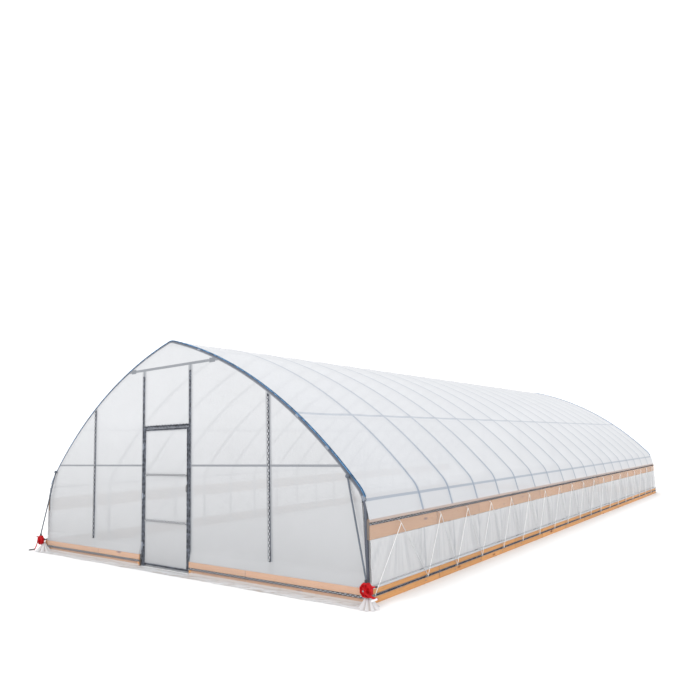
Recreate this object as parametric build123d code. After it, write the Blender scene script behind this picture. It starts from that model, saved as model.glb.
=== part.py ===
from build123d import *
import math
import os

# Millimetres. X runs across the tunnel, the front end faces -Y and Z is up from the ground.
# Everything is drawn with the front face of the front hoop at Y = 0, and save() then puts
# the origin on the ground in the middle of the tunnel.

# Plan
width = 7620.0
first_bay = 1220.0
bay = 829.0
bay_count = 19

# Hoop outline, measured on its outer face: leg, shoulder, rafter and crown. Each bend is
# drawn as a few straight lengths, and each round tube with a few flat sides, so that twenty
# hoops keep few faces.
leg_height = 1058.0
shoulder_radius = 450.0
shoulder_turn = 41.9
shoulder_count = 3
rafter_radius = 7400.0
rafter_count = 8
crown_radius = 250.0
crown_count = 2
hoop_tube = 48.0
hoop_sides = 8
tube_sides = 12

# Purlins and braces
purlin_tube = 34.0
hip_purlin_angle = 17.2
mid_purlin_angle = 52.5
brace_tube = 27.0
brace_foot_height = 120.0
brace_hoop = 2

# Timber
board_thickness = 38.0
base_board_height = 184.0
hip_board_drop = 93.0
hip_board_height = 235.0

# Films, drawn thicker than the real 0.15 mm so that they are solid
film = 2.0
seat = 0.3

# Aluminium lock channels that hold the film edges
channel_width = 30.0
channel_depth = 10.0
channel_wall = 2.0
channel_lip = 7.0
hip_channel_drop = 50.0
base_channel_height = 95.0
end_channel_height = 84.0
arch_channel_rise = 172.0

# Roll-up sides
roll_tube = 33.0
roll_overlap = 9.0
roll_reach = 90.0

# Hand winders and their guide poles
winder_size = 165.0
winder_depth = 60.0
winder_bevel = 14.0
pocket_inner = 84.0
pocket_outer = 134.0
pocket_depth = 10.0
rib_count = 8
rib_width = 7.0
hub_size = 60.0
hub_depth = 24.0
hub_bevel = 5.0
collar_size = 50.0
collar_length = 42.0
collar_gap = 1.0
socket_size = 36.0
socket_height = 34.0
crank_length = 200.0
right_crank_angle = -18.0
left_crank_angle = -58.0
crank_width = 28.0
crank_thickness = 8.0
grip_size = 26.0
grip_waist = 21.0
grip_length = 110.0
pole_tube = 22.0
pole_top_rise = 413.0
pole_standoff = 20.0
bracket_size = 44.0

# Front wall
door_centre = -105.0
door_post_spacing = 1200.0
side_post_place = 2172.0
beam_drop = 411.0
beam_tube = 30.0
beam_clamp = 44.0
beam_clamp_length = 130.0
rail_height = 1595.0
rail_tube = 25.0
header_height = 2217.0
film_slope_height = 150.0
post_channel_gap = 90.0

# Door leaf
leaf_gap = 8.0
leaf_bottom = 25.0
leaf_tube = 32.0
leaf_rail_heights = (724.0, 1448.0)
leaf_channel_inset = 4.0
hinge_heights = (330.0, 1110.0, 1900.0)
hinge_pin = 8.0
hinge_barrel = 16.0
hinge_running_gap = 0.1
hinge_knuckle = 30.0
hinge_end_gap = 0.5
hinge_plate = 2.0
hinge_leaf_length = 36.0
latch_height = 1250.0
latch_width = 20.0
latch_length = 120.0
latch_depth = 26.0

# Ground skirt
skirt_reach = 237.0
bunch_radius = 115.0
bunch_top_radius = 30.0
bunch_height = 100.0

# Curtain ropes
rope = 8.0
rope_hook_gap = 40.0

length = first_bay + bay * (bay_count - 1) + hoop_tube
half_width = width / 2
hoop_half = half_width - board_thickness

# Centres of the arcs, and the angle at which each rafter meets the crown
shoulder_x = hoop_half - shoulder_radius
rafter_x = shoulder_x - (rafter_radius - shoulder_radius) * math.cos(math.radians(shoulder_turn))
rafter_z = leg_height - (rafter_radius - shoulder_radius) * math.sin(math.radians(shoulder_turn))
crown_start = math.degrees(math.acos(-rafter_x / (rafter_radius - crown_radius)))
crown_z = rafter_z + (rafter_radius - crown_radius) * math.sin(math.radians(crown_start))
crown_turn = 180 - 2 * crown_start
arch_bends = (
    (shoulder_x, leg_height, shoulder_radius, 0, shoulder_turn, shoulder_count),
    (rafter_x, rafter_z, rafter_radius, shoulder_turn, crown_start - shoulder_turn, rafter_count),
    (0, crown_z, crown_radius, crown_start, crown_turn, crown_count),
)

# Levels and planes shared by several pieces
hip_board_top = leg_height - hip_board_drop
hip_board_bottom = hip_board_top - hip_board_height
hip_channel_height = hip_board_top - hip_channel_drop
arch_channel_foot = leg_height + arch_channel_rise
pole_top_height = leg_height + pole_top_rise
beam_height = crown_z + crown_radius - beam_drop
board_front = -board_thickness
film_front = -seat - film
channel_front = film_front - seat - channel_depth
board_film_front = board_front - seat - film
roll_height = base_board_height - roll_overlap + roll_tube / 2
roll_x = half_width + seat + roll_tube / 2
header_bottom = header_height - hoop_tube / 2
door_left = door_centre - door_post_spacing / 2
door_right = door_centre + door_post_spacing / 2
opening_left = door_left + hoop_tube / 2
opening_right = door_right - hoop_tube / 2
beyond = 2 * rafter_radius

parts_folder = "parts"
os.makedirs(parts_folder, exist_ok=True)


def save(name, *solids):
    """Writes one piece, or a set of like pieces that don't touch."""
    placed = [Pos(0, -length / 2, 0) * solid for item in solids for solid in item.solids()]
    shape = placed[0] if len(placed) == 1 else Compound(children=placed)
    export_step(shape, os.path.join(parts_folder, name + ".step"))


def block(x_range, y_range, z_range):
    size = [high - low for low, high in (x_range, y_range, z_range)]
    middle = [(high + low) / 2 for low, high in (x_range, y_range, z_range)]
    return Pos(*middle) * Box(*size)


def both_sides(shape):
    return [shape, mirror(shape, about=Plane.YZ)]


def upright(face, y_front, depth):
    """A face drawn across the tunnel, given a depth along it."""
    return Pos(0, y_front + depth, 0) * Rot(90, 0, 0) * extrude(face, depth)


def arch_points(grow):
    """The corners of the hoops' outer face moved out by grow, from the right foot to the left."""
    points = [(hoop_half + grow, 0), (hoop_half + grow, leg_height)]
    for x, z, radius, start, turn, count in arch_bends:
        reach = radius + grow
        for step in range(1, count + 1):
            angle = math.radians(start + turn * step / count)
            points.append((x + reach * math.cos(angle), z + reach * math.sin(angle)))
    before_crown = points[:-crown_count]
    return points + [(-x, z) for x, z in reversed(before_crown[:-1])]


def arch_face(grow):
    return make_face(Polyline(*arch_points(grow), close=True))


def arch_band(grow_in, grow_out, foot=0):
    """The strip between two such outlines, from the height foot up."""
    band = arch_face(grow_out) - arch_face(grow_in)
    return band - Rectangle(2 * width, 2 * foot) if foot else band


def arch_point(angle, inward):
    """A point a distance inside the hoops' outer face, at an angle of its bends."""
    for x, z, radius, start, turn, count in arch_bends:
        if start <= angle < start + turn:
            step = turn / count
            middle = start + (math.floor((angle - start) / step) + 0.5) * step
            flat = (radius - inward) * math.cos(math.radians(step / 2))
            reach = flat / math.cos(math.radians(angle - middle))
            turned = math.radians(angle)
            return x + reach * math.cos(turned), z + reach * math.sin(turned)


def round_face(diameter):
    return RegularPolygon(diameter / 2, tube_sides)


def rod(start, end, diameter):
    start, end = Vector(*start), Vector(*end)
    along = end - start
    section = Plane(origin=start, z_dir=along) * round_face(diameter)
    return extrude(section, along.length)


def hoop_front(index):
    """The front face of a hoop, counted from 0 at the front end."""
    return 0 if index == 0 else first_bay + bay * (index - 1)


# Lock channel section: a tray, its back on the X axis, whose sides turn in over the wire
lip_x = channel_width / 2 - channel_lip
wall_x = channel_width / 2 - channel_wall
tray_half = [
    (wall_x, channel_wall),
    (wall_x, channel_depth - channel_wall),
    (lip_x, channel_depth - channel_wall),
    (lip_x, channel_depth),
    (channel_width / 2, channel_depth),
    (channel_width / 2, 0),
]
tray_face = make_face(Polyline(*tray_half, *[(-x, z) for x, z in reversed(tray_half)], close=True))


def channel(start, end, facing):
    """A length of lock channel, given along the middle of its back and open towards facing."""
    start, end = Vector(*start), Vector(*end)
    along = end - start
    across = Vector(*facing).cross(along)
    return extrude(Plane(origin=start, x_dir=across, z_dir=along) * tray_face, along.length)


# Hoops: one bent tube, from foot to foot
hoop_line = Plane.XZ * Polyline(*arch_points(-hoop_tube / 2))
hoop_section = RegularPolygon(hoop_tube / 2, hoop_sides, major_radius=False)
hoop_section = Rot(0, 0, 180 / hoop_sides) * hoop_section
foot_plane = Plane(origin=(hoop_half - hoop_tube / 2, 0, 0), z_dir=(0, 0, 1))
hoop = sweep(foot_plane * hoop_section, path=hoop_line, transition=Transition.RIGHT)
for index in range(bay_count + 1):
    save(f"hoop_{index + 1:02d}", Pos(0, hoop_front(index) + hoop_tube / 2, 0) * hoop)

# Purlins along the inside of the hoops
purlin_inset = hoop_tube + seat + purlin_tube / 2
ridge_x, ridge_z = arch_point(90, purlin_inset)
purlins = [rod((ridge_x, 0, ridge_z), (ridge_x, length, ridge_z), purlin_tube)]
for angle in (hip_purlin_angle, mid_purlin_angle):
    x, z = arch_point(angle, purlin_inset)
    purlins += both_sides(rod((x, 0, z), (x, length, z), purlin_tube))
save("purlins", *purlins)

# Wind braces, inside the legs near both ends
brace_x = hoop_half - hoop_tube - seat - brace_tube / 2
brace_top = leg_height - brace_foot_height
braces = []
for foot_hoop, top_hoop in (
    (brace_hoop, brace_hoop + 1),
    (bay_count - brace_hoop, bay_count - brace_hoop - 1),
):
    foot_y = hoop_front(foot_hoop) + hoop_tube / 2
    top_y = hoop_front(top_hoop) + hoop_tube / 2
    brace = rod((brace_x, foot_y, brace_foot_height), (brace_x, top_y, brace_top), brace_tube)
    braces += both_sides(brace)
save("wind_braces", *braces)

# Side boards, outside the legs
side_x = (hoop_half, half_width)
hip_board = block(side_x, (0, length), (hip_board_bottom, hip_board_top))
save("hip_boards", *both_sides(hip_board))
base_board = block(side_x, (0, length), (0, base_board_height))
save("side_base_boards", *both_sides(base_board))

# End boards, beside the door at the front and right across at the rear
end_board_z = (0, base_board_height)
front_board_y = (board_front, 0)
save(
    "end_base_boards",
    block((-half_width, door_left - hoop_tube / 2), front_board_y, end_board_z),
    block((door_right + hoop_tube / 2, half_width), front_board_y, end_board_z),
    block((-half_width, half_width), (length, length + board_thickness), end_board_z),
)

# Lock channels bent over the end hoops: the same tray, hollowed out of a solid strip
arch_channel_inset = (hoop_tube - channel_width) / 2
tray_floor = seat + channel_wall
lip_under = seat + channel_depth - channel_wall
arch_channel = upright(
    arch_band(seat, seat + channel_depth, arch_channel_foot), arch_channel_inset, channel_width
)
arch_channel -= upright(
    arch_band(tray_floor, lip_under), arch_channel_inset + channel_wall, 2 * wall_x
)
arch_channel -= upright(
    arch_band(lip_under, seat + 2 * channel_depth), arch_channel_inset + channel_lip, 2 * lip_x
)
rear_arch_channel = Pos(0, length - hoop_tube, 0) * arch_channel
save("arch_lock_channels", arch_channel, rear_arch_channel)

# Lock channels on the side boards
hip_channel_z = (hip_channel_height - channel_width / 2, hip_channel_height + channel_width / 2)
side_channels = []
for height in (hip_channel_height, base_channel_height):
    start, end = (half_width, 0, height), (half_width, length, height)
    side_channels += both_sides(channel(start, end, (1, 0, 0)))
save("side_lock_channels", *side_channels)

# Roof film, over the hoops and down the outside of the hip boards to their channel
film_in = hoop_half + seat
film_board = half_width + seat
film_low = hip_channel_z[1] + seat
film_strip = make_face(
    Polyline(
        (film_in, leg_height),
        (film_board, hip_board_top),
        (film_board, film_low),
        (film_board + film, film_low),
        (film_board + film, hip_board_top),
        (film_in + film, leg_height),
        close=True,
    )
)
roof_profile = arch_band(seat, seat + film, leg_height)
roof_profile += [film_strip, mirror(film_strip, about=Plane.YZ)]
roof_front = arch_channel_inset + channel_width + seat
save("roof_film", upright(roof_profile, roof_front, length - 2 * roof_front))

# Roll-up side curtains, each on its roll tube
curtain = block(
    (film_board, film_board + film),
    (0, length),
    (roll_height + roll_tube / 2 + seat, hip_channel_z[0] - seat),
)
for side, piece in zip(("right", "left"), both_sides(curtain)):
    save(f"side_curtain_{side}", piece)
roll = rod((roll_x, -roll_reach, roll_height), (roll_x, length, roll_height), roll_tube)
save("roll_tubes", *both_sides(roll))

# Ropes that keep the curtains from billowing, in a zigzag between the two boards
rope_x = roll_x + roll_tube / 2 + seat + rope / 2
rope_low = base_channel_height + channel_width / 2
rope_high = hip_channel_z[0] - rope_hook_gap
rope_points = []
for index in range(bay_count):
    here, there = hoop_front(index), hoop_front(index + 1)
    rope_points.append((here + hoop_tube / 2, rope_low))
    rope_points.append(((here + there + hoop_tube) / 2, rope_high))
rope_points.append((hoop_front(bay_count) + hoop_tube / 2, rope_low))
rope_start = Plane(
    origin=(rope_x, *rope_points[0]),
    z_dir=(0, rope_points[1][0] - rope_points[0][0], rope_points[1][1] - rope_points[0][1]),
)
rope_line = Polyline(*[(rope_x, y, z) for y, z in rope_points])
rope_solid = sweep(rope_start * Rectangle(rope, rope), path=rope_line, transition=Transition.RIGHT)
save("curtain_ropes", *both_sides(rope_solid))

# Hand winders on the front ends of the roll tubes: a moulded gear housing with a ribbed front,
# a collar round the roll tube, a socket under the guide pole, and a crank with a turned grip
winder_front = -roll_reach - winder_depth
hub_front = winder_front - hub_depth
grip_back = hub_front - crank_thickness
winder_face = Rot(0, 0, 22.5) * RegularPolygon(winder_size / 2, 8, major_radius=False)
winder_middle = Pos(roll_x, roll_height)
socket_top = roll_height + winder_size / 2 + socket_height


def ribbed_housing():
    housing = upright(winder_middle * winder_face, winder_front, winder_depth)
    housing = chamfer(housing.faces().sort_by(Axis.Y)[0].edges(), winder_bevel)
    pocket = RegularPolygon(pocket_outer / 2, 2 * rib_count)
    pocket -= RegularPolygon(pocket_inner / 2, 2 * rib_count)
    for rib in range(rib_count):
        turned = Rot(0, 0, 360 * rib / rib_count)
        pocket -= turned * Pos(winder_size / 2, 0) * Rectangle(winder_size, rib_width)
    return housing - upright(winder_middle * pocket, winder_front, pocket_depth)


def grip(turned):
    """A handle that swells and narrows twice, on the end of the crank."""
    rings = [
        Pos(0, 0, grip_length * share) * round_face(size)
        for share, size in ((0, grip_size), (1 / 4, grip_waist), (3 / 4, grip_size), (1, grip_waist))
    ]
    handle = loft(rings, ruled=True)
    return Pos(0, grip_back, 0) * Rot(90, 0, 0) * turned * Pos(crank_length, 0) * handle


def winder(crank_angle):
    hub = upright(winder_middle * round_face(hub_size), hub_front, hub_depth)
    hub = chamfer(hub.faces().sort_by(Axis.Y)[0].edges(), hub_bevel)
    turned = winder_middle * Rot(0, 0, crank_angle)
    arm_face = turned * Pos(crank_length / 2, 0) * Rectangle(crank_length, crank_width)
    for reach in (0, crank_length):
        arm_face += turned * Pos(reach, 0) * round_face(crank_width)
    arm = upright(arm_face, grip_back, crank_thickness)
    collar_face = round_face(collar_size) - round_face(roll_tube + 2 * collar_gap)
    collar = upright(winder_middle * collar_face, -roll_reach, collar_length)
    socket = rod(
        (roll_x, winder_front + winder_depth / 2, roll_height),
        (roll_x, winder_front + winder_depth / 2, socket_top),
        socket_size,
    )
    return ribbed_housing() + hub + arm + grip(turned) + collar + socket


save("winder_right", winder(right_crank_angle))
save("winder_left", mirror(winder(left_crank_angle), about=Plane.YZ))

# Guide poles from the winders up to a pivot bracket on the front hoop
pole_x = math.sqrt((rafter_radius - hoop_tube / 2) ** 2 - (pole_top_height - rafter_z) ** 2) + rafter_x
pole_top_y = film_front - seat - pole_standoff
pole_foot = (roll_x, winder_front + winder_depth / 2, socket_top)
pole = rod(pole_foot, (pole_x, pole_top_y, pole_top_height), pole_tube)
pole -= block(
    (0, width),
    (-beyond, beyond),
    (-beyond, pole_foot[2] + seat),
)
bracket = block(
    (pole_x - bracket_size / 2, pole_x + bracket_size / 2),
    (pole_top_y - pole_tube, film_front - seat),
    (pole_top_height - bracket_size / 2, pole_top_height + bracket_size / 2),
)
save("guide_poles", *both_sides(pole + bracket))

# Posts of the front wall: two beside the door and one halfway out on each side
under_arch = upright(arch_face(-hoop_tube - seat), 0, hoop_tube)
beam_z = (beam_height - beam_tube / 2, beam_height + beam_tube / 2)
post_y = (0, hoop_tube)


def post(x, top):
    return block((x - hoop_tube / 2, x + hoop_tube / 2), post_y, (0, top)) & under_arch


door_posts = [post(x, beam_z[0]) for x in (door_left, door_right)]
side_posts = [post(x, beyond) for x in (-side_post_place, side_post_place)]
save("front_posts", *door_posts, *side_posts)

# Rails of the front wall: top beam, door header and the two rails behind the posts
beam_inset = (hoop_tube - beam_tube) / 2
beam_y = (beam_inset, hoop_tube - beam_inset)
beam = block((-half_width, half_width), beam_y, beam_z) & under_arch
beam_end = beam.bounding_box().max.X
clamp_x = (beam_end - beam_clamp_length, half_width)
clamp_y = ((hoop_tube - beam_clamp) / 2, (hoop_tube + beam_clamp) / 2)
clamp_z = (beam_height - beam_clamp / 2, beam_height + beam_clamp / 2)
for clamp in both_sides(block(clamp_x, clamp_y, clamp_z)):
    beam += clamp & under_arch
header = block((opening_left, opening_right), post_y, (header_bottom, header_bottom + hoop_tube))
behind_hoop = upright(arch_face(-hoop_tube / 2), hoop_tube, rail_tube)
rail_z = (rail_height - rail_tube / 2, rail_height + rail_tube / 2)
rail_y = (hoop_tube, hoop_tube + rail_tube)
left_rail = block((-half_width, opening_left), rail_y, rail_z) & behind_hoop
right_rail = block((opening_right, half_width), rail_y, rail_z) & behind_hoop
save("front_rails", beam, header, left_rail, right_rail)

# Rear wall: the same posts and rails, with nothing cut out for a door
rear = Pos(0, length - hoop_tube, 0)
rear_posts = [rear * piece for piece in door_posts + side_posts]
save("rear_posts", *rear_posts)
rear_rail = block((-half_width, half_width), rail_y, rail_z) & behind_hoop
rear_rail = Pos(0, length - 2 * hoop_tube - rail_tube, 0) * rear_rail
save("rear_rails", rear * beam, rear_rail)

# End films, which lean out over the base boards and stop at the board's channel
film_foot = end_channel_height + channel_width / 2 + seat
slope_top = base_board_height + film_slope_height
end_film_profile = make_face(
    Polyline(
        (-seat, beyond),
        (-seat, slope_top),
        (board_front - seat, base_board_height),
        (board_front - seat, film_foot),
        (board_film_front, film_foot),
        (board_film_front, base_board_height),
        (film_front, slope_top),
        (film_front, beyond),
        close=True,
    )
)
end_film_arch = upright(arch_face(-hoop_tube / 2), board_film_front, -board_film_front)


def end_film(x_low, x_high):
    sheet = Pos(x_low, 0, 0) * extrude(Plane.YZ * end_film_profile, x_high - x_low)
    return sheet & end_film_arch


def flat_film(x_low, x_high, z_low):
    return block((x_low, x_high), (film_front, -seat), (z_low, beyond)) & end_film_arch


# Beside the door the film stays flat on the posts, where there is no board under it
post_left = door_left - hoop_tube / 2
post_right = door_right + hoop_tube / 2
front_film_left = end_film(-half_width, post_left) + flat_film(post_left, door_left, leaf_bottom)
front_film_right = end_film(post_right, half_width) + flat_film(door_right, post_right, leaf_bottom)
front_film_over_door = flat_film(door_left, door_right, header_height)
save("front_film_left", front_film_left)
save("front_film_right", front_film_right)
save("front_film_over_door", front_film_over_door)
rear_film = mirror(end_film(-half_width, half_width), about=Plane.XZ)
save("rear_film", Pos(0, length, 0) * rear_film)

# Lock channels on the front posts, the header and the end boards
channel_back = film_front - seat
post_channel_top = beam_z[0] - post_channel_gap
header_reach = channel_width / 2 + seat
front_channels = [
    channel((x, channel_back, leaf_bottom), (x, channel_back, post_channel_top), (0, -1, 0))
    for x in (door_left, door_right)
]
front_channels.append(
    channel(
        (door_left + header_reach, channel_back, header_height),
        (door_right - header_reach, channel_back, header_height),
        (0, -1, 0),
    )
)
channel_arch = upright(arch_face(-hoop_tube - seat), channel_front, channel_depth)
for x in (-side_post_place, side_post_place):
    side_channel = channel((x, channel_back, slope_top), (x, channel_back, beam_height), (0, -1, 0))
    front_channels.append(side_channel & channel_arch)
for x_low, x_high in ((-half_width, post_left), (post_right, half_width)):
    start = (x_low, board_front, end_channel_height)
    end = (x_high, board_front, end_channel_height)
    front_channels.append(channel(start, end, (0, -1, 0)))
save("front_lock_channels", *front_channels)
rear_board_face = length + board_thickness
rear_channel = channel(
    (-half_width, rear_board_face, end_channel_height),
    (half_width, rear_board_face, end_channel_height),
    (0, 1, 0),
)
save("rear_lock_channel", rear_channel)

# Skirts: the film below the channels, spread on the ground in front of the boards
skirt_top = end_channel_height - channel_width / 2 - seat
skirt_profile = make_face(
    Polyline(
        (board_front - seat, skirt_top),
        (board_film_front, skirt_top),
        (board_film_front, film),
        (board_front - skirt_reach, film),
        (board_front - skirt_reach, 0),
        (board_front - seat, 0),
        close=True,
    )
)
skirt = Pos(-half_width, 0, 0) * extrude(Plane.YZ * skirt_profile, width)
doorway = block(
    (door_left - hoop_tube / 2, door_right + hoop_tube / 2), (-beyond, beyond), (film, beyond)
)
bunch_lean = math.degrees(math.atan2(bunch_radius - bunch_top_radius, bunch_height))
bunch = extrude(RegularPolygon(bunch_radius, tube_sides), bunch_height, taper=bunch_lean)
bunch = Pos(half_width, board_front - skirt_reach / 2, 0) * bunch
front_skirt = skirt - doorway
for piece in both_sides(bunch):
    front_skirt += piece
save("front_skirt", front_skirt)
save("rear_skirt", Pos(0, length, 0) * mirror(skirt, about=Plane.XZ))

# Door leaf, hung on its left side and flush with the front of the posts
leaf_x = (opening_left + leaf_gap, opening_right - leaf_gap)
leaf_z = (leaf_bottom, header_bottom - leaf_gap)
leaf_y = (0, leaf_tube)
leaf_frame = block(leaf_x, leaf_y, leaf_z)
openings = [leaf_bottom + leaf_tube]
for height in leaf_rail_heights:
    openings += [height - leaf_tube / 2, height + leaf_tube / 2]
openings.append(leaf_z[1] - leaf_tube)
for low, high in zip(openings[0::2], openings[1::2]):
    leaf_frame -= block((leaf_x[0] + leaf_tube, leaf_x[1] - leaf_tube), leaf_y, (low, high))
save("door_frame", leaf_frame)
save("door_film", block(leaf_x, (film_front, -seat), leaf_z))

# The leaf's own lock channels, over the film along the stiles and rails
inset = leaf_channel_inset + channel_width / 2
stile_x = (leaf_x[0] + inset, leaf_x[1] - inset)
rail_x = (stile_x[0] + header_reach, stile_x[1] - header_reach)
stile_z = (leaf_z[0] + leaf_channel_inset, leaf_z[1] - leaf_channel_inset)
leaf_channels = [
    channel((x, channel_back, stile_z[0]), (x, channel_back, stile_z[1]), (0, -1, 0))
    for x in stile_x
]
for height in (leaf_z[0] + inset, *leaf_rail_heights, leaf_z[1] - inset):
    start, end = (rail_x[0], channel_back, height), (rail_x[1], channel_back, height)
    leaf_channels.append(channel(start, end, (0, -1, 0)))
save("door_channels", *leaf_channels)

# Hinges: a barrel on the leaf turns on a pin held by two knuckles on the post
hinge_x = opening_left + leaf_gap / 2
hinge_y = channel_front - hinge_barrel / 2
plate_y = (channel_front - hinge_plate, channel_front)
plate_gap = hinge_pin / 4
pin_hole_face = RegularPolygon(hinge_pin / 2 + hinge_running_gap, tube_sides, major_radius=False)
pin_hole = extrude(pin_hole_face, hinge_knuckle, both=True)
post_hinges = []
leaf_hinges = []
for height in hinge_heights:
    reach = hinge_knuckle / 2 + hinge_end_gap + hinge_knuckle
    low, high = height - reach, height + reach
    pin = rod((hinge_x, hinge_y, low), (hinge_x, hinge_y, high), hinge_pin)
    knuckles = rod((hinge_x, hinge_y, low), (hinge_x, hinge_y, high), hinge_barrel)
    gap_z = (low + hinge_knuckle, high - hinge_knuckle)
    knuckles -= block((-beyond, beyond), (-beyond, beyond), gap_z)
    plate = block((hinge_x - hinge_leaf_length, hinge_x - plate_gap), plate_y, (low, high))
    plate -= block((hinge_x - hinge_barrel, beyond), (-beyond, beyond), gap_z)
    post_hinges.append(pin + knuckles + plate)
    barrel_z = (height - hinge_knuckle / 2, height + hinge_knuckle / 2)
    barrel = rod((hinge_x, hinge_y, barrel_z[0]), (hinge_x, hinge_y, barrel_z[1]), hinge_barrel)
    leaf_plate = block((hinge_x + plate_gap, hinge_x + hinge_leaf_length), plate_y, barrel_z)
    leaf_hinges.append(barrel + leaf_plate - Pos(hinge_x, hinge_y, height) * pin_hole)
save("post_hinges", *post_hinges)
save("door_hinges", *leaf_hinges)

# Latch handle on the free stile
latch_x = stile_x[1]
latch = block(
    (latch_x - latch_width / 2, latch_x + latch_width / 2),
    (channel_front - latch_depth, channel_front),
    (latch_height - latch_length / 2, latch_height + latch_length / 2),
)
save("door_latch", latch)
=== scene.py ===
from math import acos, cos, dist, pi, radians, sin, sqrt, tau

import bmesh
import bpy
import numpy as np
from mathutils import Matrix, Vector, noise


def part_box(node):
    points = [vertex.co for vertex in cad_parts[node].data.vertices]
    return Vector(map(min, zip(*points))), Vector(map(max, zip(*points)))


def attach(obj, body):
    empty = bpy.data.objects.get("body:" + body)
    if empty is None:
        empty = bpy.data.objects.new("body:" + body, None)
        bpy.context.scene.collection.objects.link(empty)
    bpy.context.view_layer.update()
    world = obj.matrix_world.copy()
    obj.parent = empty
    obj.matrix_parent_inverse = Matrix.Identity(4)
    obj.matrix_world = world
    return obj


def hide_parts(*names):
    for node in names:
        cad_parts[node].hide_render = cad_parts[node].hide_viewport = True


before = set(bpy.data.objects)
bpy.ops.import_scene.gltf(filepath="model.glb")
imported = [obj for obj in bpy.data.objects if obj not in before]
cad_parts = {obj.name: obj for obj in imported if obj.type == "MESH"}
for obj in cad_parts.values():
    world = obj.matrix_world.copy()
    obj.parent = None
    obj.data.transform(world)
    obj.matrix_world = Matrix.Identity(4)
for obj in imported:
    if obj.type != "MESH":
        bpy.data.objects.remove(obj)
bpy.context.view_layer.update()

# Camera: low, at the right of the front end, as the photograph was taken. The place, the
# turn and the lens come from fitting the arch and the boards to the picture.
eye = Vector((8.010, -13.939, 1.853))
yaw, pitch, roll = 0.648486, 0.110584, -0.025873
level = Vector((cos(yaw), sin(yaw), 0))
ahead = Vector((-sin(yaw) * cos(pitch), cos(yaw) * cos(pitch), sin(pitch)))
above = level.cross(ahead)
camera_x = cos(roll) * level + sin(roll) * above
camera_y = cos(roll) * above - sin(roll) * level
camera = bpy.data.objects.new("camera", bpy.data.cameras.new("camera"))
camera.data.lens = 30.89
camera.data.shift_y = 0.0394
camera.data.clip_end = 300
camera_axes = Matrix((camera_x, camera_y, -ahead)).transposed().to_4x4()
camera.matrix_world = Matrix.Translation(eye) @ camera_axes
bpy.context.scene.collection.objects.link(camera)
bpy.context.scene.camera = camera

# Studio: a white floor under an even white sky, with one wide soft lamp from the upper left.
# The picture's plain white surround comes from these alone.
floor_reach = 120
floor_white = (0.93, 0.93, 0.93, 1)
sky_white, sky_light = (1.0, 1.0, 1.0, 1), 1.25
lamp_light, lamp_spread = 0.9, radians(25)
lamp_turn = (radians(38), radians(-22), 0)
studio = bpy.context.scene
studio.view_settings.view_transform = "Standard"
studio.world = bpy.data.worlds.new("sky")
studio.world.use_nodes = True
sky = studio.world.node_tree.nodes["Background"]
sky.inputs["Color"].default_value = sky_white
sky.inputs["Strength"].default_value = sky_light
lamp = bpy.data.objects.new("lamp", bpy.data.lights.new("lamp", "SUN"))
lamp.data.energy = lamp_light
lamp.data.angle = lamp_spread
lamp.rotation_euler = lamp_turn
studio.collection.objects.link(lamp)
floor_mesh = bpy.data.meshes.new("floor")
floor_corners = [(-1, -1, 0), (1, -1, 0), (1, 1, 0), (-1, 1, 0)]
floor_mesh.from_pydata([Vector(c) * floor_reach for c in floor_corners], [], [(0, 1, 2, 3)])
floor = bpy.data.objects.new("floor", floor_mesh)
studio.collection.objects.link(floor)


def new_finish(name, constants):
    """A material, with the settings that are the same all over it, and its tree and shader."""
    finish = bpy.data.materials.new(name)
    finish.use_nodes = True
    shader = finish.node_tree.nodes["Principled BSDF"]
    for socket, value in constants.items():
        shader.inputs[socket].default_value = value
    return finish, finish.node_tree, shader


floor_finish, _, _ = new_finish("studio_floor", {"Base Color": floor_white, "Roughness": 0.9})
floor_mesh.materials.append(floor_finish)

# Timber: planed pine on edge outside the legs. Base boards run round the foot and hip boards
# above the side curtains, each in lengths that butt end to end and are bolted to the hoops.
base_low, base_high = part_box("side_base_boards")
hip_low, hip_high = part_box("hip_boards")
end_low, end_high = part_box("end_base_boards")
front_y, back_y = base_low.y, base_high.y
board_thickness, board_round, butt_gap = 0.038, 0.003, 0.004
first_length, board_length = 1.61, 1.337
front_joints, rear_joint = (-1.939, 1.734), 0.1
door_left, door_right, post_edge = -0.705, 0.495, 0.024
front_runs = ((end_low.x, door_left - post_edge), (door_right + post_edge, end_high.x))
early_wood, late_wood = (0.95, 0.50, 0.20), (0.82, 0.39, 0.14)
knot_brown, streak_brown, end_grain_and_shade_brown = (0.30, 0.12, 0.04), (0.92, 0.88, 0.84), (0.17, 0.14, 0.12)
white = (1.0, 1.0, 1.0)
side_darkest, end_darkest, tone_range = 0.70, 0.72, 0.12


def add(tree, kind, inputs=(), out=0, **settings):
    """Adds a node, with values or other nodes' outputs as its inputs, and gives one output."""
    node = tree.nodes.new(kind)
    for setting, value in settings.items():
        setattr(node, setting, value)
    for name, value in dict(inputs).items():
        if isinstance(value, bpy.types.NodeSocket):
            tree.links.new(value, node.inputs[name])
        else:
            node.inputs[name].default_value = value
    return node.outputs[out] if node.outputs else None


def maths(tree, operation, *values):
    """One step of arithmetic on numbers."""
    return add(tree, "ShaderNodeMath", enumerate(values), operation=operation)


def times(tree, first, second):
    """One colour multiplied by another, or by a number."""
    return add(tree, "ShaderNodeVectorMath", {0: first, 1: second}, operation="MULTIPLY")


def mix(tree, share, first, second):
    """One colour turned into another as a share goes up to 1."""
    inputs = {"Fac": share, "Color1": first, "Color2": (*second, 1)}
    return add(tree, "ShaderNodeMixRGB", inputs)


def clouds(tree, place, scale, **settings):
    """Soft random clouding. A larger scale makes it finer."""
    inputs = {"Vector": place, "Scale": scale, **settings}
    return add(tree, "ShaderNodeTexNoise", inputs, "Fac")


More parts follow.
